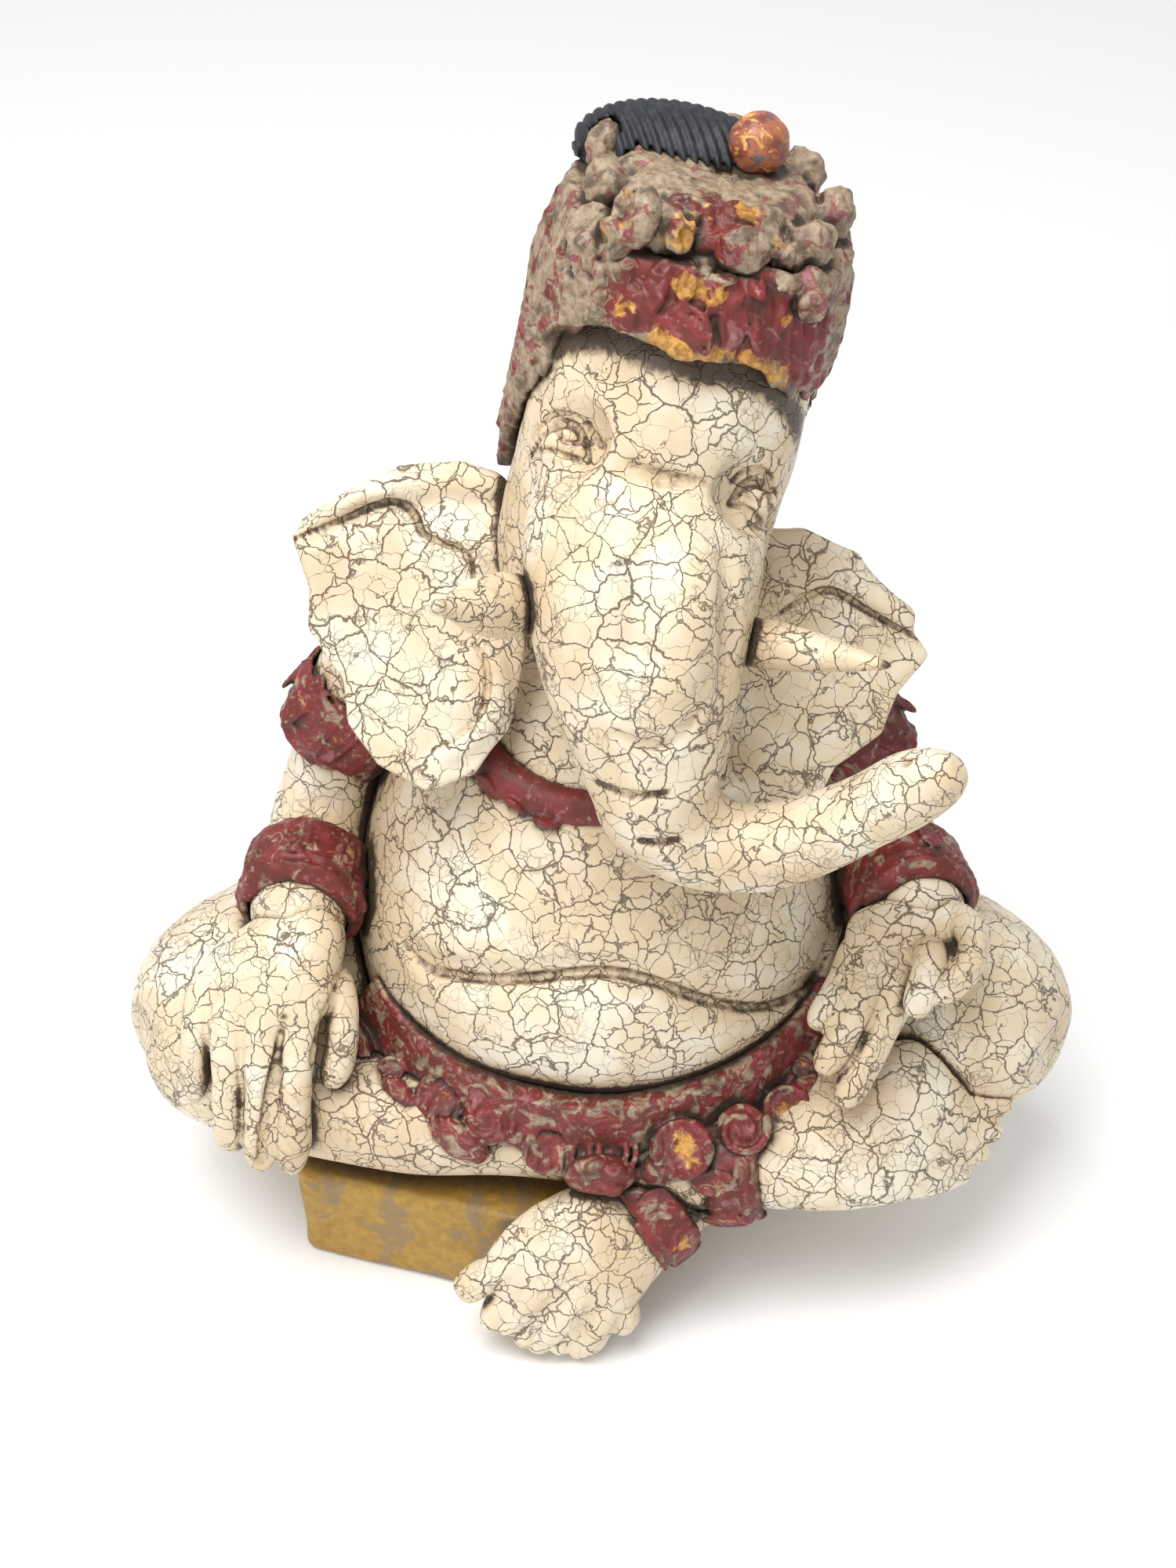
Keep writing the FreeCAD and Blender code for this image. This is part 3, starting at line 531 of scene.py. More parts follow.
FLOOR_WHITE = (0.97, 0.97, 0.97)
FLOOR_SHADE = (0.92, 0.92, 0.92)


def floor_material():
    paint = Paint("floor", 0.2)
    tone = paint.ramp(paint.noise(0.4).outputs[0], 0.0, 1.0, 0.0, 0.03)
    return paint.finish(paint.mix(tone, FLOOR_WHITE, FLOOR_SHADE), 0.9, 0.0, 0.0)


# ---------- stage
ELEVATION = math.radians(40)
DISTANCE = 0.9
AIM = vector(0, -10, 170) * MM
LENS = 58.3
SENSOR = 36
SIDE_SHIFT = -0.0075
NEAREST = 0.01
FLOOR_SIDE = 6
SKY_STRENGTH = 0.66
# name, place, size, power
LIGHTS = (
    ("overhead", (-0.3, -0.3, 1.4), 0.9, 18),
    ("front", (-0.5, -1.3, 0.9), 0.8, 3),
)


def add_camera():
    data = bpy.data.cameras.new("camera")
    camera = bpy.data.objects.new("camera", data)
    bpy.context.collection.objects.link(camera)
    camera.location = AIM + DISTANCE * vector(0, -math.cos(ELEVATION), math.sin(ELEVATION))
    camera.rotation_euler = (math.pi / 2 - ELEVATION, 0, 0)
    data.lens = LENS
    data.sensor_width = SENSOR
    data.shift_x = SIDE_SHIFT
    data.clip_start = NEAREST
    bpy.context.scene.camera = camera


def add_light(name, place, size, power):
    data = bpy.data.lights.new(name, "AREA")
    data.size = size
    data.energy = power
    light = bpy.data.objects.new(name, data)
    bpy.context.collection.objects.link(light)
    light.location = place
    direction = Vector(AIM - vector(*place))
    light.rotation_euler = direction.to_track_quat("-Z", "Y").to_euler()


def add_stage():
    bpy.ops.mesh.primitive_plane_add(size=FLOOR_SIDE)
    floor = bpy.context.object
    floor.name = "floor"
    floor.data.materials.append(floor_material())
    world = bpy.data.worlds.new("studio")
    world.use_nodes = True
    sky = world.node_tree.nodes["Background"]
    sky.inputs["Color"].default_value = (1.0, 1.0, 1.0, 1.0)
    sky.inputs["Strength"].default_value = SKY_STRENGTH
    bpy.context.scene.world = world
    bpy.context.scene.view_settings.view_transform = "Standard"
    for row in LIGHTS:
        add_light(*row)


# ---------- pieces
CLAYS = {}
SPECS = []
# The occlusion, looked for at the close and the wide reach and weighed by the first share, is painted into
# the colour as shade.
CLOSE = 2.5 * MM
WIDE = 8 * MM
SHADE_SHARE = 0.6
PATCH_SHARE = 0.62
Mark = namedtuple("Mark", "line radius strength channel")


def near_line(points, mark):
    """1 on a mark's line, falling smoothly to 0 at its radius."""
    out = np.zeros(len(points))
    low = mark.line.min(axis=0) - mark.radius
    high = mark.line.max(axis=0) + mark.radius
    here = np.nonzero(np.all((points > low) & (points < high), axis=1))[0]
    if len(here):
        gaps = [np.linalg.norm(points[here] - spot, axis=1) for spot in mark.line]
        part = np.clip(1 - np.min(gaps, axis=0) / mark.radius, 0, 1)
        out[here] = part * part * (3 - 2 * part)
    return out


def set_attribute(mesh, name, values):
    mesh.attributes.new(name, "FLOAT", "POINT").data.foreach_set("value", values.astype(np.float32))


def finish_piece(name, clay, slot, nodes, material):
    """Notes one finished block of clay. The meshes are made at the end, when every neighbour is known."""
    CLAYS[name] = clay
    SPECS.append((name, slot, nodes, material))


def occlusion(points, normals, reach):
    """How much of the way out, for reach metres, is closed by clay: 0 is open and 1 is shut."""
    probes = points + normals * reach
    nearest = np.full(len(points), reach, dtype=np.float32)
    for clay in CLAYS.values():
        low = clay.first * clay.voxel
        high = (clay.first + clay.shape) * clay.voxel
        here = np.nonzero(np.all((probes > low) & (probes < high), axis=1))[0]
        if len(here):
            nearest[here] = np.minimum(nearest[here], clay.sample(probes[here]))
    return np.clip(1 - nearest / reach, 0, 1.5)


def build_pieces():
    """Turns every finished block of clay into a mesh with its painted shade and grime, red and gold."""
    for name, slot, nodes, material in SPECS:
        clay = CLAYS[name]
        points, quads = clay.mesh()
        mesh = bpy.data.meshes.new(name)
        mesh.vertices.add(len(points))
        mesh.vertices.foreach_set("co", points.astype(np.float32).ravel())
        mesh.loops.add(quads.size)
        mesh.loops.foreach_set("vertex_index", quads.astype(np.int32).ravel())
        mesh.polygons.add(len(quads))
        mesh.polygons.foreach_set("loop_start", np.arange(0, quads.size, 4, dtype=np.int32))
        mesh.polygons.foreach_set("use_smooth", np.ones(len(quads), dtype=bool))
        mesh.update(calc_edges=True)
        mesh.validate()
        normals = np.empty(len(points) * 3, dtype=np.float32)
        mesh.vertices.foreach_get("normal", normals)
        normals = normals.reshape(-1, 3)
        # Painted shade: spots closed in by clay, in hollows, creases and between parts, get an attribute
        # that the paints turn into darker colour; each clay's dark marks are added to it.
        near = occlusion(points, normals, CLOSE)
        far = occlusion(points, normals, WIDE)
        grime_and_shade = np.clip(SHADE_SHARE * near + SHADE_SHARE * far, 0, 1)
        for darkening in clay.shade_and_stains:
            grime_and_shade = np.maximum(grime_and_shade, darkening.strength * near_line(points, darkening))
        set_attribute(mesh, "grime_and_shade", grime_and_shade)
        for channel in ("red", "gold"):
            total = np.full(len(points), getattr(clay, channel, 0.0))
            for patch in clay.patches:
                if patch.channel == channel:
                    total += PATCH_SHARE * patch.strength * near_line(points, patch)
            set_attribute(mesh, channel, total)
        mesh.materials.append(material)
        thing = bpy.data.objects.new(name, mesh)
        bpy.context.collection.objects.link(thing)
        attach(thing, "root")
        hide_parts(*nodes)
        print(f"{name}: {len(quads)} quads")


# ---------- places on the figure
# EARS_UP is the height of the ear dowels in the head's own frame. The rest are depths in front of the origin
# from which features are dropped onto the clay. All are in millimetres.
LOOK = vector(0, math.cos(ELEVATION), -math.sin(ELEVATION))
EARS = middle("ear_dowels")
LEAN = middle("crown_dowel") - EARS
UP = unit(vector(LEAN[0], 0, LEAN[2]))
SIDE = vector(UP[2], 0, -UP[0])
EARS_UP = 20
BROW_Y = -50
CROWN_Y = -45
TRUNK_Y = -85
TRUNK_TIP_Y = -105
EAR_Y = -8
BELLY_Y = -80
FOOT_Y = -115
HAND_Y = -85
BELT_Y = -100


def head_line(pairs, y=BROW_Y):
    """Points beside the head, from millimetres across and up its own tilted frame."""
    return [
        vector(EARS[0], y * MM, EARS[2]) + (SIDE * across + UP * (up - EARS_UP)) * MM for across, up in pairs
    ]


def land(clays, points):
    """The spots of the clays that are seen, from the front and above, at the points. Points that miss are
    left out, unless all of them miss."""
    clays = clays if isinstance(clays, list) else [clays]
    spots = []
    for point in points:
        start = point - LOOK * SIGHT / 2
        hits = [clay.surface(start, LOOK) for clay in clays]
        hits = [hit for hit in hits if hit is not None]
        if hits:
            spots.append(min(hits, key=lambda hit: (hit - start) @ LOOK))
    return np.array(spots if spots else points)


def along(points, radii):
    """A tube through points, with radii in millimetres spread evenly along it."""
    radii = np.interp(np.linspace(0, 1, len(points)), np.linspace(0, 1, len(radii)), radii) * MM
    return union([rod(a, b, p, q) for a, b, p, q in zip(points, points[1:], radii, radii[1:])])


def groove(clay, line, radii, soft=0.5, dark=0.6, sink=0.0):
    """A line cut into the clay and darkened along it with painted shade and grime. Sizes in millimetres."""
    spots = land(clay, smooth_line(line))
    clay.cut(along(spots + LOOK * sink * MM, radii), soft * MM)
    # The mark darkens the paint along the cut as painted shade in the groove.
    if dark:
        clay.shade_and_stains.append(Mark(spots, 1.5 * max(radii) * MM, dark, "grime_and_shade"))


def ridge(clay, line, radii, sink=0.5, soft=1.0):
    """A line built up on the clay. Sizes in millimetres."""
    spots = land(clay, smooth_line(line))
    clay.add(along(spots + LOOK * sink * MM, radii), soft * MM)
    return spots


def tint(clay, spots, radius, channel, strength):
    """More red or gold round the spots. The radius is in millimetres."""
    clay.patches.append(Mark(np.atleast_2d(spots), radius * MM, strength, channel))


def leaf(clay, centre, rise, out, long, wide, thick, ribs=3):
    """A rounded leaf with grooves that fan from its root."""
    side = unit(np.cross(rise, out))
    clay.add(ball(centre, (wide * MM, long * MM, thick * MM), (side, rise, out)), 0.4 * MM)
    if wide > 4:
        cup = (wide * 0.72 * MM, long * 0.72 * MM, thick * 0.5 * MM)
        clay.cut(ball(centre + out * thick * 0.95 * MM, cup, (side, rise, out)), 0.4 * MM)
    for rib in range(ribs):
        spread = 2 * (rib - (ribs - 1) / 2) / ribs
        root = centre + (side * wide * spread * 0.3 - rise * long * 0.8 + out * thick * 0.6) * MM
        belly = centre + (side * wide * spread * 0.8 + out * thick * math.cos(spread)) * MM
        tip = centre + (side * wide * spread * 0.9 + rise * long * 0.75 + out * thick * 0.5) * MM
        clay.cut(along([root, belly, tip], (0.7, 1.1, 0.7)), 0.3 * MM)


def spiral(clay, centre, start, out, radius, hand, turns=1.4):
    """A raised scroll that winds in to a knob."""
    side = unit(np.cross(start, out)) * hand
    plate = (radius * MM, radius * MM, radius * 0.35 * MM)
    clay.add(ball(centre, plate, (side, start, out)), 0.4 * MM)
    points = []
    for part in np.linspace(0, 1, 28):
        angle = part * turns * 2 * math.pi
        reach = radius * (1 - 0.78 * part) * MM
        points.append(centre + (start * math.cos(angle) + side * math.sin(angle)) * reach
                      + out * radius * 0.3 * MM)
    clay.add(along(points, (1.7, 1.3, 1.2)), 0.3 * MM)


def arches(clay, centre, rise, out, radii, thick=0.9):
    """Arches, one inside the other."""
    side = unit(np.cross(rise, out))
    for radius in radii:
        turns = np.linspace(-1.9, 1.9, 15)
        points = [centre + (side * math.sin(a) + rise * math.cos(a)) * radius * MM for a in turns]
        clay.add(along(points, (thick,)), 0.3 * MM)


def spot_on(clay, across, up):
    """A spot on the crown, with the directions out of it and up along it."""
    spot = land(clay, head_line([(across, up)], CROWN_Y))[0]
    out = clay.outward(spot)
    return spot, out, unit(UP - out * (UP @ out))


RIM_HEIGHT = 1.3 * MM


def ringed(clay, node, lumps):
    """Rims at both edges of a band, and a row of leaves round its middle."""
    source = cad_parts[node].data
    points = np.array([corner.co[:] for corner in source.vertices])
    centre = (points.min(axis=0) + points.max(axis=0)) / 2
    spread = np.linalg.svd(points[::7] - points.mean(axis=0), full_matrices=False)[2]
    axis = spread[2]
    half = np.abs((points - centre) @ axis).max()

    def relief(x, y, z):
        shift = (x - centre[0]) * axis[0] + (y - centre[1]) * axis[1] + (z - centre[2]) * axis[2]
        part = np.abs(shift) / half
        rim = np.exp(-((part - 0.86) / 0.1) ** 2)
        bead = np.exp(-((part - 0.55) / 0.06) ** 2)
        return (rim + 0.6 * bead - 0.5) * RIM_HEIGHT

    clay.raise_by(relief)
    across, other = spread[0], spread[1]
    for turn in range(lumps):
        angle = 2 * math.pi * turn / lumps
        way = across * math.cos(angle) + other * math.sin(angle)
        spot = clay.surface(centre + way * 45 * MM, -way)
        if spot is None or np.linalg.norm(spot - centre) < 15 * MM:
            continue
        leaf(clay, spot, axis, way, half / MM * 0.62, 5.2, 1.8)
        tint(clay, spot, 7, "gold", 0.25)
    clay.red, clay.gold = 0.52, 0.22


def rough(clay, height, size, seed):
    """Slight unevenness of carving by hand. Sizes in millimetres."""
    clay.raise_by(lambda x, y, z: noise(x, y, z, size * MM, seed) * height * MM)


# ---------- the idol
WHITE = crackle_white()
ORNAMENT = ornament()
SEAT = gold_seat()
HAIR = dark_hair()
BALL = copper_ball()
PEG = bare_wood()
COARSE = 1.3 * MM
MEDIUM = 1.05 * MM
FINE = 0.85 * MM
EYES = (
    {
        "upper": ((-45, 90), (-43, 96), (-39.5, 101), (-35, 102.5), (-31, 99.5), (-28, 95), (-26, 89)),
        "lower": ((-45, 90), (-40, 91), (-34, 90), (-26, 89)),
        "iris": ((-38, 99), (-36, 96), (-33, 94.7), (-29.5, 96.5)),
        "slot": ((-29.5, 103.5), (-27.5, 100), (-24.5, 96.5), (-22, 95)),
        "crease": ((-46.5, 84), (-46.5, 93.5), (-43.5, 102), (-39.5, 105.5), (-33, 105), (-30, 103)),
        "ball": (-35, 95.5),
    },
    {
        "upper": ((20, 83), (21, 87), (23, 92), (26, 93.5), (29.5, 92), (32.5, 87), (34, 76)),
        "lower": ((20, 83), (24.5, 83), (29, 80.5), (32.7, 77)),
        "iris": ((24, 89), (25, 86), (27.5, 86), (29.5, 89)),
        "slot": ((18.5, 92), (21.5, 96.5), (26.5, 97.5), (30.5, 95), (34, 90)),
        "crease": ((26, 81), (29, 76), (32.5, 73.5)),
        "ball": (26.5, 87),
    },
)


BRIM = (
    (-52, 112), (-49, 122), (-42, 131), (-31, 133), (-21, 130), (-13, 128), (-1, 126), (11, 128),
    (20, 127), (31, 121), (38, 112),
)
BRIDGE = ((2, 96), (9, 76), (12, 54), (13, 38))
FROWN = ((-13, 89), (-6, 86), (1, 86), (10, 87))
TRUNK_SLOTS = (((-1, -7), (7, -9.5), (14, -9), (20, -6)), ((17.5, -27), (23, -27), (28.5, -24)))
TRUNK_FOLDS = (
    (((0, 13), (7, 11), (15, 11), (21, 18)), (0.5, 1.8, 0.5), 3, 0.3),
    (((24, 30), (21, 22), (17, 19)), (0.5, 1.5, 0.5), 2, 0.45),
)
TRUNK_TIP = (85, 38.6)


def carve_eye(clay, eye):
    """A hollow socket with a ball in it, and the lines of the lids, iris and brow."""
    pad = land(clay, head_line([eye["ball"]]))[0]
    clay.cut(ball(pad - LOOK * 5 * MM, vector(13, 9, 12) * MM), 7 * MM)
    pad = land(clay, head_line([eye["ball"]]))[0]
    clay.add(ball(pad + LOOK * 3.5 * MM, vector(8, 6, 6) * MM), 3 * MM)
    groove(clay, head_line(eye["upper"]), (0.9, 1.8, 1.5, 1.0), 0.4, 1.3)
    groove(clay, head_line(eye["lower"]), (0.8, 1.2, 0.8), 0.4, 1.1)
    groove(clay, head_line(eye["iris"]), (0.8, 1.0, 0.8), 0.3, 1.2)
    groove(clay, head_line(eye["slot"]), (0.8, 1.8, 0.8), 0.6, 1.1)
    groove(clay, head_line(eye["crease"]), (0.6, 1.3, 0.6), 0.8, 0.7)


def carve_trunk(clay):
    """The slots and folds across the trunk, and the nostril in its tip."""
    for slot in TRUNK_SLOTS:
        groove(clay, head_line(slot, TRUNK_Y), (0.6, 2.0, 0.6), 0.8, 1.3)
    for fold, radii, soft, dark in TRUNK_FOLDS:
        groove(clay, head_line(fold, TRUNK_Y), radii, soft, dark)
    tip = land(clay, head_line([TRUNK_TIP], TRUNK_TIP_Y))[0]
    clay.cut(ball(tip, vector(2.8, 1.8, 1.6) * MM), 0.6 * MM)
    # Painted shade in the nostril.
    clay.shade_and_stains.append(Mark(np.atleast_2d(tip), 4 * MM, 0.5, "grime_and_shade"))


def carve_head():
    clay = from_nodes(["head", "trunk"], MEDIUM, 3 * MM, 2 * MM)
    clay.soften(2)
    rough(clay, 0.35, 26, 1)
    ridge(clay, head_line(BRIDGE, TRUNK_Y), (5, 7, 7, 5), 5.2, 7)
    for side in (-1, 1):
        cheek = [(5 + side * 13, 88), (10 + side * 16, 62), (14 + side * 15, 40)]
        groove(clay, head_line(cheek, TRUNK_Y), (2, 4, 2), 5, 0.0, -2.6)
    for eye in EYES:
        carve_eye(clay, eye)
    groove(clay, head_line(FROWN), (0.6, 2.4, 0.6), 2.5, 0.75)
    carve_trunk(clay)
    # Painted shadow of the crown's front edge, on the brow under it.
    brim_shadow_line = head_line([(across, up - 2) for across, up in BRIM], CROWN_Y)
    clay.shade_and_stains.append(Mark(land(clay, smooth_line(brim_shadow_line)), 10 * MM, 1.2, "grime_and_shade"))
    finish_piece("head_and_trunk", clay, "crackle_white", ["head", "trunk"], WHITE)


EAR_LINES = {
    "right_ear": {
        "fold": (
            (-106, 9), (-98, 16), (-90, 23.5), (-84, 29), (-79, 32), (-74, 31), (-70, 27), (-66, 20.5),
            (-60, 18.5), (-54, 17.5), (-48.5, 13.5), (-46, 6),
        ),
        "hollow": (1.5, 4, 4, 2.5, 1.5, 0.8),
        "rim": ((-104, 16), (-96, 24), (-88, 31), (-78, 38), (-66, 44), (-50, 46)),
        "lobe": ((-40, -21), (-35.5, -25), (-32, -34), (-30.5, -44), (-32, -53), (-37, -62), (-42, -68)),
    },
    "left_ear": {
        "fold": (
            (56.5, 16.5), (61, 22), (66, 27.5), (71.5, 29.5), (77.5, 27.5), (86, 23.5), (98, 18.5),
            (104, 16.5),
        ),
        "hollow": (0.8, 1.5, 3, 4, 4, 2),
        "rim": ((60, 34), (70, 37), (80, 33), (91, 27), (102, 21)),
        "lobe": ((50, -20), (48, -34), (52, -48), (60, -58)),
    },
}


def carve_ears():
    for name, lines in EAR_LINES.items():
        clay = from_nodes([name], FINE, 3 * MM)
        clay.soften(2)
        rough(clay, 0.3, 18, 2)
        side = -1 if name == "right_ear" else 1
        root, end = (EARS + SIDE * side * reach * MM for reach in (40, 62))
        clay.add(rod(root, end, 8 * MM, 5 * MM), 8 * MM)
        ridge(clay, head_line(lines["rim"], EAR_Y), (2.5, 4.5, 5, 5), 2.2, 3)
        hollow = [(across, up - 4) for across, up in lines["fold"]]
        groove(clay, head_line(hollow, EAR_Y), lines["hollow"], 3, 0.0, -1.8)
        groove(clay, head_line(lines["fold"], EAR_Y), (0.6, 1.4, 1.6, 1.4, 0.7), 0.4, 1.1)
        rolled = [(across - 4 * side, up - 1) for across, up in lines["lobe"]]
        ridge(clay, head_line(rolled, EAR_Y), (1.5, 4, 4.5, 4), 1.6, 2.5)
        groove(clay, head_line(lines["lobe"], EAR_Y), (0.6, 1.2, 1.1, 0.5), 0.6, 0.8)
        finish_piece(name + "_carving", clay, "crackle_white", [name], WHITE)


def carve_tusks():
    """The right tusk ends in a small knob, and the left one in a worn, dark point."""
    for name, farthest in (("right_tusk", np.argmin), ("left_tusk", np.argmax)):
        clay = from_nodes([name], FINE, 3 * MM)
        clay.soften(2)
        points = clay.mesh()[0]
        tip = points[farthest(points[:, 0])]
        if name == "right_tusk":
            clay.add(ball(tip + vector(1.5, 1, 0) * MM, vector(2, 2, 2) * MM), 2 * MM)
        else:
            clay.shade_and_stains.append(Mark(np.atleast_2d(tip), 8 * MM, 0.9, "grime_and_shade"))
        finish_piece(name + "_carving", clay, "crackle_white", [name], WHITE)


BELLY_FOLD = (
    (-68, 156), (-62, 148), (-55, 143.5), (-33, 141.5), (-1, 145.5), (17, 141.5), (36, 132), (55, 127),
    (74, 134), (81, 147),
)


def carve_torso():
    clay = from_nodes(["torso"], COARSE, 3 * MM)
    clay.soften(2)
    rough(clay, 0.5, 40, 3)
    fold = [vector(across, BELLY_Y, up) * MM for across, up in BELLY_FOLD]
    groove(clay, fold, (2, 5, 5, 5, 2), 6, 0.0, -2.5)
    groove(clay, fold, (0.8, 1.8, 2.0, 1.8, 0.8), 0.8, 1.0)
    finish_piece("torso_carving", clay, "crackle_white", ["torso"], WHITE)


TOES = (
    ((-25, 42), (-36, 33), (-46, 24)),
    ((-16, 31), (-26, 17), (-35, 4)),
    ((-6, 22), (-15, 8), (-24, -6)),
    ((3, 16), (-4, 1), (-11, -12)),
    ((10, 13), (6, 0), (1, -12)),
)
FINGER_GAPS = (((-92, 141), (-98, 119), (-100, 97)), ((-109, 128), (-114, 97), (-119, 59)))


def carve_limbs():
    pieces = {
        "right_leg": (["right_thigh", "right_shin"], COARSE),
        "left_leg": (["left_thigh", "left_shin"], COARSE),
    }
    for side in ("right", "left"):
        for part in ("foot", "arm", "hand"):
            pieces[f"{side}_{part}_carving"] = ([f"{side}_{part}"], FINE if part != "arm" else MEDIUM)
    for seed, (name, (nodes, voxel)) in enumerate(pieces.items()):
        clay = from_nodes(nodes, voxel, 1 * MM, 3 * MM)
        passes, height, size = (1, 0.2, 12) if voxel == FINE else (2, 0.4, 34)
        clay.soften(passes)
        rough(clay, height, size, seed + 10)
        if name == "left_foot_carving":
            for toe in TOES:
                line = smooth_line([vector(across, FOOT_Y, up) * MM for across, up in toe])
                clay.add(along(land(clay, line) + LOOK * 3.6 * MM, (4.4, 5.4, 5.8, 5.2)), 0.8 * MM)
        if name == "right_hand_carving":
            for gap in FINGER_GAPS:
                line = [vector(across, HAND_Y, up) * MM for across, up in gap]
                groove(clay, line, (0.7, 1.8, 2.2), 1.2, 1.0)
        finish_piece(name, clay, "crackle_white", nodes, WHITE)


BELT_MOTIFS = (
    # kind, across, up, radius, gold
    ("leaf", -74, 113, 5, 0.25), ("leaf", -55.5, 101, 10, 0.5), ("spiral", -39, 92, 9, 0.2),
    ("leaf", -17.5, 79, 10, 0.3), ("drop", 4.5, 78, 9, 0.15), ("leaf", 28.5, 80, 11.5, 0.5),
    ("spiral", 49.5, 88.5, 9, 0.1), ("leaf", 66, 96, 9.5, 0.6), ("leaf", 72, 114, 6, 0.5),
)


def belt_motif(clay, under, kind, across, up, radius, gold):
    """One carved lobe of the belt, on whatever lies under it."""
    centre = land(under, [vector(across, BELT_Y, up) * MM])[0]
    out = unit(-LOOK + vector(0, 0, 0.15))
    drop = unit(vector(across * 0.25, -10, -30))
    drop = unit(drop - out * (drop @ out))
    if kind == "leaf":
        leaf(clay, centre, drop, out, radius * 0.95, radius, 4.2, 4)
        arches(clay, centre + out * 2.2 * MM, -drop, out, (radius * 0.85,), 0.9)
    elif kind == "spiral":
        spiral(clay, centre, unit(np.cross(out, drop)), out, radius, 1 if across > 0 else -1)
    else:
        arches(clay, centre + out * 1.5 * MM, drop, out, (radius * 0.9, radius * 0.55), 1.3)
        for step in range(3):
            knob = land(under, [vector(across, BELT_Y, up - 8 - 8 * step) * MM])[0]
            clay.add(ball(knob, vector(5 - step, 3, 4.2 - step * 0.6) * MM), 0.4 * MM)
            tint(clay, knob, 7, "red", 0.35)
    tint(clay, centre, radius * 1.3, "gold", gold)
    tint(clay, centre, radius * 1.2, "red", 0.22)


def carve_belt():
    clay = from_nodes(["belt"], FINE, 12 * MM)
    clay.soften(2)
    under = [clay, CLAYS["right_leg"], CLAYS["left_leg"], CLAYS["torso_carving"]]
    clay.red, clay.gold = 0.46, 0.13
    for motif in BELT_MOTIFS:
        belt_motif(clay, under, *motif)
    rough(clay, 0.2, 3.5, 17)
    finish_piece("belt_carving", clay, "red_gold_ornament", ["belt"], ORNAMENT)


# across and up at the top, across and up at the bottom
FLUTES = (
    (-45, 149, -44, 130), (-41, 151, -40, 137), (-36, 152, -35, 137), (-32, 154, -31, 138),
    (-28, 155, -29, 145),
)
WALL_STRIPS = ((19, 151, 27, 123), (23.5, 150, 30.5, 124), (27.5, 151, 34, 125), (31, 153, 37, 126))
CROWN_LEAVES = (
    # across, up, half length, half width, thickness, ribs, red, gold
    (-19, 147, 10, 4.2, 3.4, 1, 0.7, 0.0),
    (-26, 139, 7.5, 5, 3.2, 3, 0.5, 0.6),
    (5.4, 141, 9.5, 5.2, 3.4, 2, 0.6, 0.15),
    (15, 141.5, 9.5, 5.2, 3.4, 2, 0.75, 0.0),
    (-10.5, 150, 6, 3, 3, 1, 0.2, 0.8),
    (-2, 148, 6, 2.6, 2.6, 1, 0.2, 0.45),
    (9, 155, 6, 3, 2.6, 1, 0.5, 0.1),
    (20, 146, 4, 3.2, 2.6, 1, 0.2, 0.7),
)
# across, up, radius
CURLS = (
    (-14.5, 157.5, 3.6), (-8.3, 159, 3.4), (-1.3, 155, 3.6), (4, 158, 3.0), (14, 158, 4.0), (22, 158, 4.6),
)
LEDGE = (
    (-49, 155), (-41, 157.5), (-29, 162.5), (-21, 165), (-14, 163), (-4.5, 162), (5, 161), (16, 160),
    (24, 157),
)
# across, up, size
CORNER_LEAVES = ((-51, 171, 8), (-50, 161, 7), (30, 163, 7), (31, 156, 6))
MEDAL = (-7, 133)
BACK_COLUMNS = 26
TIER_LEAVES = (
    # as for the crown's leaves
    (-31, 172, 10, 10, 6, 3, 0.1, 0.2),
    (-35, 163, 7, 6, 5, 2, 0.0, 0.3),
    (-17, 167, 5.5, 4.6, 4, 1, 0.0, 0.8),
    (-6, 172, 9, 5, 5, 2, 0.7, 0.2),
    (-2, 181, 6, 5, 4, 2, 0.4, 0.6),
    (7, 176, 8, 5, 5, 3, 0.0, 0.2),
    (15, 168, 8, 6, 6, 2, 0.0, 0.6),
)


def apply_leaves(clay, rows):
    for across, up, long, wide, thick, ribs, red, gold in rows:
        spot, out, rise = spot_on(clay, across, up)
        if not clay.touches(spot):
            continue
        leaf(clay, spot, rise, out, long, wide, thick, ribs)
        tint(clay, spot, max(long, wide) * 1.6, "red", red)
        tint(clay, spot, max(long, wide) * 1.4, "gold", gold)


def crown_walls(clay):
    """Upright ribs on both sides of the front."""
    for left, top, right, bottom in FLUTES:
        spots = ridge(clay, head_line([(left, top), (right, bottom)], CROWN_Y), (2.4, 2.0, 1.5), 0.2, 0.5)
        clay.add(ball(spots[0] - SIDE * 1.4 * MM, vector(2.6, 2.6, 2.6) * MM), 0.6 * MM)
    for left, top, right, bottom in WALL_STRIPS:
        spots = ridge(clay, head_line([(left, top), (right, bottom)], CROWN_Y), (1.8, 1.6), 0.2, 0.4)
        tint(clay, spots, 6, "red", 0.5)


def crown_brim(clay):
    """The front's lower edge: all below it is cut away, and a gilt bead runs along it."""
    for drop in (9, 19, 29):
        below = head_line([(across, up - drop) for across, up in BRIM[2:-2]], CROWN_Y)
        clay.cut(along(land(clay, smooth_line(below)), (9,)), 1 * MM)
    bead = head_line([(across, up + 2) for across, up in BRIM[1:-1]], CROWN_Y)
    spots = ridge(clay, bead, (1.6, 2.4, 1.6), 1, 1)
    tint(clay, spots[14:], 7, "gold", 0.6)


def crown_medal(clay):
    """The round boss over the brow."""
    medal, out, rise = spot_on(clay, *MEDAL)
    clay.add(ball(medal, vector(8, 8, 3) * MM, (unit(np.cross(rise, out)), rise, out)), 0.5 * MM)
    arches(clay, medal + out * 2 * MM, rise, out, (8.2, 5.6, 3.0), 1.1)
    tint(clay, medal, 11, "red", 0.6)
    tint(clay, medal - rise * 5 * MM, 7, "gold", 0.6)


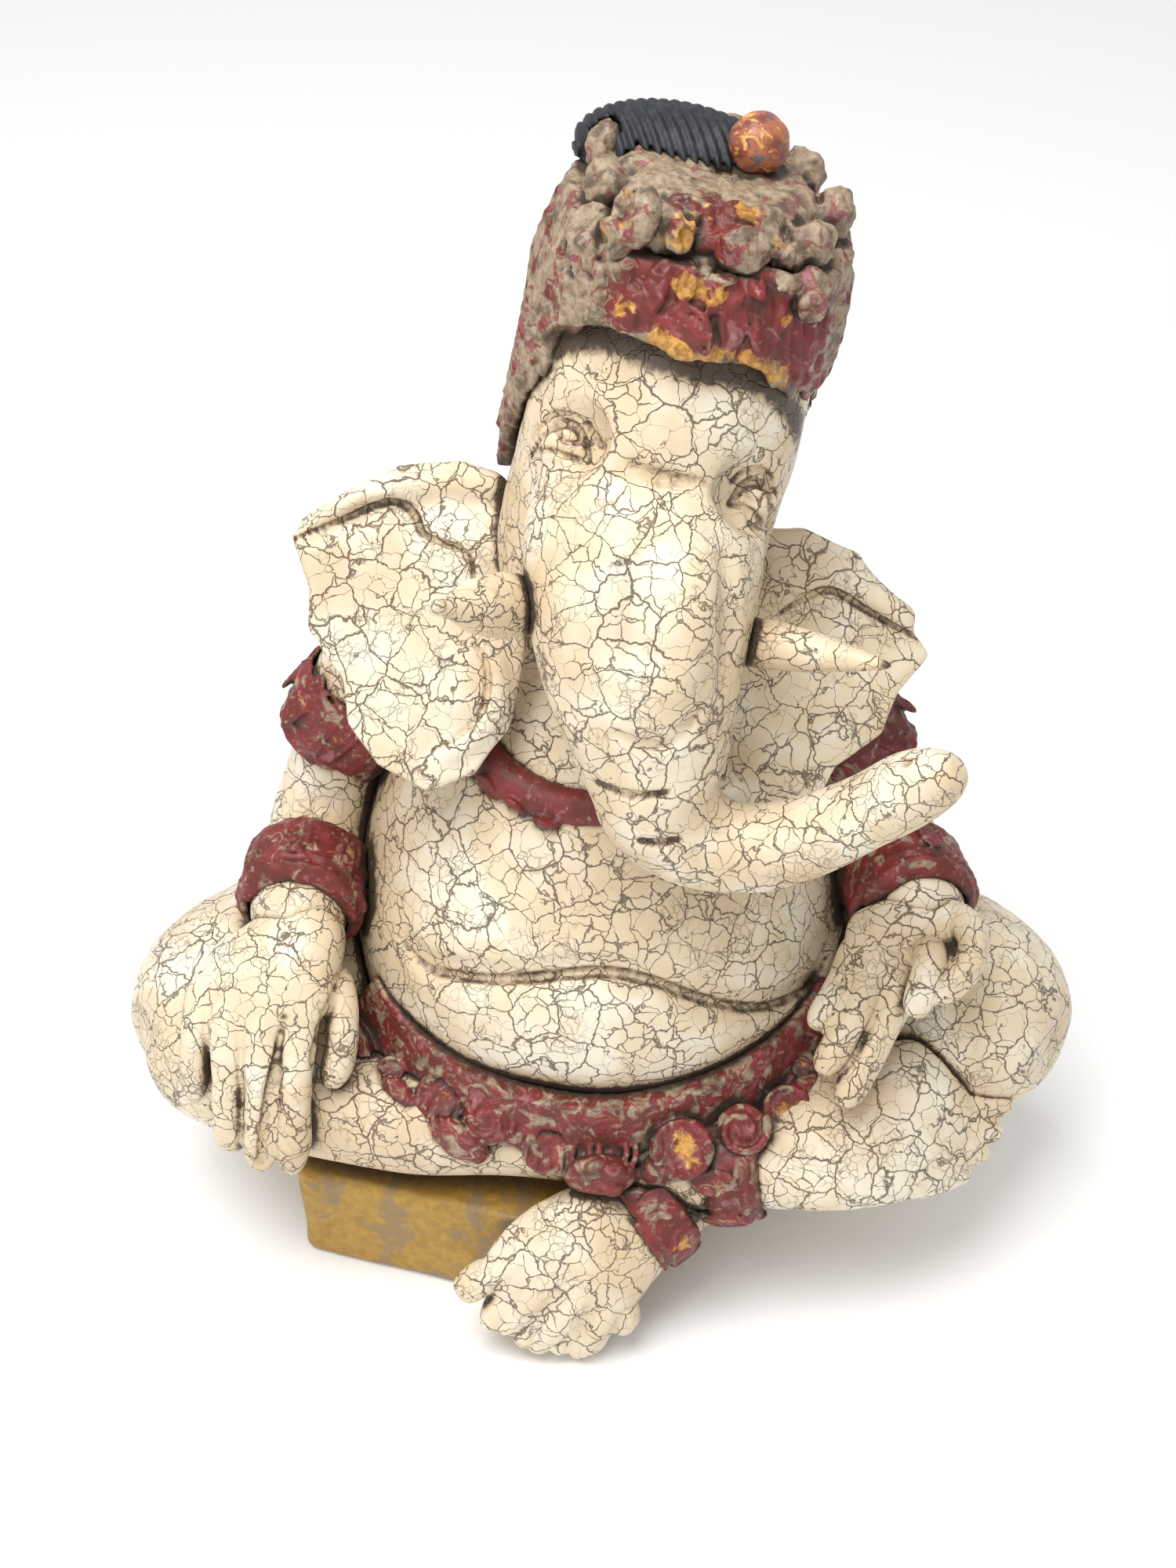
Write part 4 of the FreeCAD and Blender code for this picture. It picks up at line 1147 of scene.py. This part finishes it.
def crown_top(clay):
    """Curls, the ledge over them, and a leaf at each corner."""
    for across, up, radius in CURLS:
        spot, out, rise = spot_on(clay, across, up)
        if clay.touches(spot):
            arches(clay, spot + out * 0.6 * MM, rise, out, (radius, radius * 0.45), 1.1)
    ridge(clay, head_line(LEDGE, CROWN_Y), (2.2, 3, 2.4, 3, 2.2), 0.5, 1)
    for across, up, size in CORNER_LEAVES:
        spot, out, rise = spot_on(clay, across * 0.86, up - 3)
        if clay.touches(spot):
            leaf(clay, spot, rise, out, size, size * 0.8, size * 0.8, 2)


def crown_back(clay):
    """Plain upright ribs round the sides and the back."""
    centre = middle("crown")
    for turn in range(BACK_COLUMNS):
        angle = math.radians(-25 + turn * 230 / (BACK_COLUMNS - 1))
        way = SIDE * math.cos(angle) + vector(0, math.sin(angle), 0)
        column = []
        for up in np.linspace(60, 150, 8):
            start = head_line([(0, up)], centre[1] / MM)[0] + way * 90 * MM
            spot = clay.surface(start, -way)
            if spot is not None and np.linalg.norm(spot - start) < 60 * MM:
                column.append(spot)
        if len(column) > 1:
            clay.add(along(column, (1.9, 1.5, 1.9)), 0.5 * MM)
            tint(clay, column, 4, "red", 0.35 if turn % 3 else 0.0)


def carve_crown():
    clay = from_nodes(["crown"], MEDIUM, 8 * MM)
    clay.soften(2)
    rough(clay, 0.35, 7, 5)
    clay.red, clay.gold = 0.35, 0.16
    crown_walls(clay)
    crown_brim(clay)
    crown_medal(clay)
    apply_leaves(clay, CROWN_LEAVES)
    crown_top(clay)
    crown_back(clay)
    rough(clay, 0.3, 3.5, 15)
    finish_piece("crown_carving", clay, "red_gold_ornament", ["crown"], ORNAMENT)


def carve_tier():
    clay = from_nodes(["crown_upper_tier"], FINE, 8 * MM)
    clay.soften(10)
    rough(clay, 0.6, 8, 6)
    clay.red, clay.gold = 0.33, 0.24
    apply_leaves(clay, TIER_LEAVES)
    for row in range(5):
        for column in range(3):
            spot, out, rise = spot_on(clay, -21 + 4.4 * column + row * 0.6, 183 - 3.2 * row + column)
            if not clay.touches(spot):
                continue
            side = unit(np.cross(rise, out))
            clay.add(ball(spot, vector(2.4, 1.5, 1.4) * MM, (side, rise, out)), 0.2 * MM)
            tint(clay, spot, 3, "gold" if (row + column) % 2 else "red", 0.6)
    rough(clay, 0.35, 3.5, 16)
    finish_piece("upper_tier_carving", clay, "red_gold_ornament", ["crown_upper_tier"], ORNAMENT)


BANDS = ("right_armlet", "left_armlet", "right_bracelet", "left_bracelet", "right_anklet", "left_anklet")
SCALLOPS = 30
HAIR_PITCH = 3.6 * MM


def carve_bands():
    for name in BANDS:
        clay = from_nodes([name], FINE, 4 * MM)
        clay.soften(1)
        rough(clay, 0.4, 6, 7)
        ringed(clay, name, 5 if name == "left_bracelet" else 7)
        finish_piece(name + "_carving", clay, "red_gold_ornament", [name], ORNAMENT)


def carve_necklace():
    """A ring of leaves that overlap, all round the neck."""
    clay = from_nodes(["necklace"], MEDIUM, 5 * MM)
    clay.red, clay.gold = 0.62, 0.15
    centre = middle("necklace")
    low, high = (vector(*corner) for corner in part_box("necklace"))
    for turn in range(SCALLOPS):
        angle = 2 * math.pi * turn / SCALLOPS
        way = vector(math.cos(angle), math.sin(angle), 0)
        outer = centre + vector(way[0], way[1], way[1]) * (high - low) / 2
        spot = clay.surface(outer + way * 20 * MM, -way)
        if spot is None or not clay.touches(spot):
            continue
        out = clay.outward(spot)
        rise = unit(vector(0, 0, 1) - out * out[2])
        leaf(clay, spot, -rise, out, 6.5, 4.6, 2.2, 2)
        tint(clay, spot, 6, "gold", 0.3 if turn % 3 == 0 else 0.0)
    finish_piece("necklace_carving", clay, "red_gold_ornament", ["necklace"], ORNAMENT)


def carve_seat():
    clay = from_nodes(["seat_block"], COARSE, 1 * MM)
    clay.soften(3)
    rough(clay, 0.9, 38, 8)
    finish_piece("seat_carving", clay, "gold_seat", ["seat_block"], SEAT)


def carve_hair():
    """A crest with slanting ribs."""
    clay = from_nodes(["topknot"], FINE, 4 * MM)
    centre = middle("topknot")

    def ribs(x, y, z):
        return 0.7 * MM * np.sin((x + 0.35 * (y - centre[1])) * 2 * math.pi / HAIR_PITCH)

    clay.raise_by(ribs)
    finish_piece("hair_carving", clay, "dark_hair", ["topknot"], HAIR)


def carve_ball():
    clay = from_nodes(["finial_ball"], FINE, 3 * MM)
    clay.soften(1)
    rough(clay, 0.3, 9, 9)
    finish_piece("ball_carving", clay, "copper_ball", ["finial_ball"], BALL)


def paint_pegs():
    """The dowels stay as the CAD made them."""
    for name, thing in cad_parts.items():
        if name.endswith(("dowel", "dowels")):
            thing.data.materials.clear()
            thing.data.materials.append(PEG)


carve_head()
carve_ears()
carve_tusks()
carve_torso()
carve_limbs()
carve_belt()
carve_crown()
carve_tier()
carve_bands()
carve_necklace()
carve_seat()
carve_hair()
carve_ball()
add_camera()
add_stage()
build_pieces()
paint_pegs()
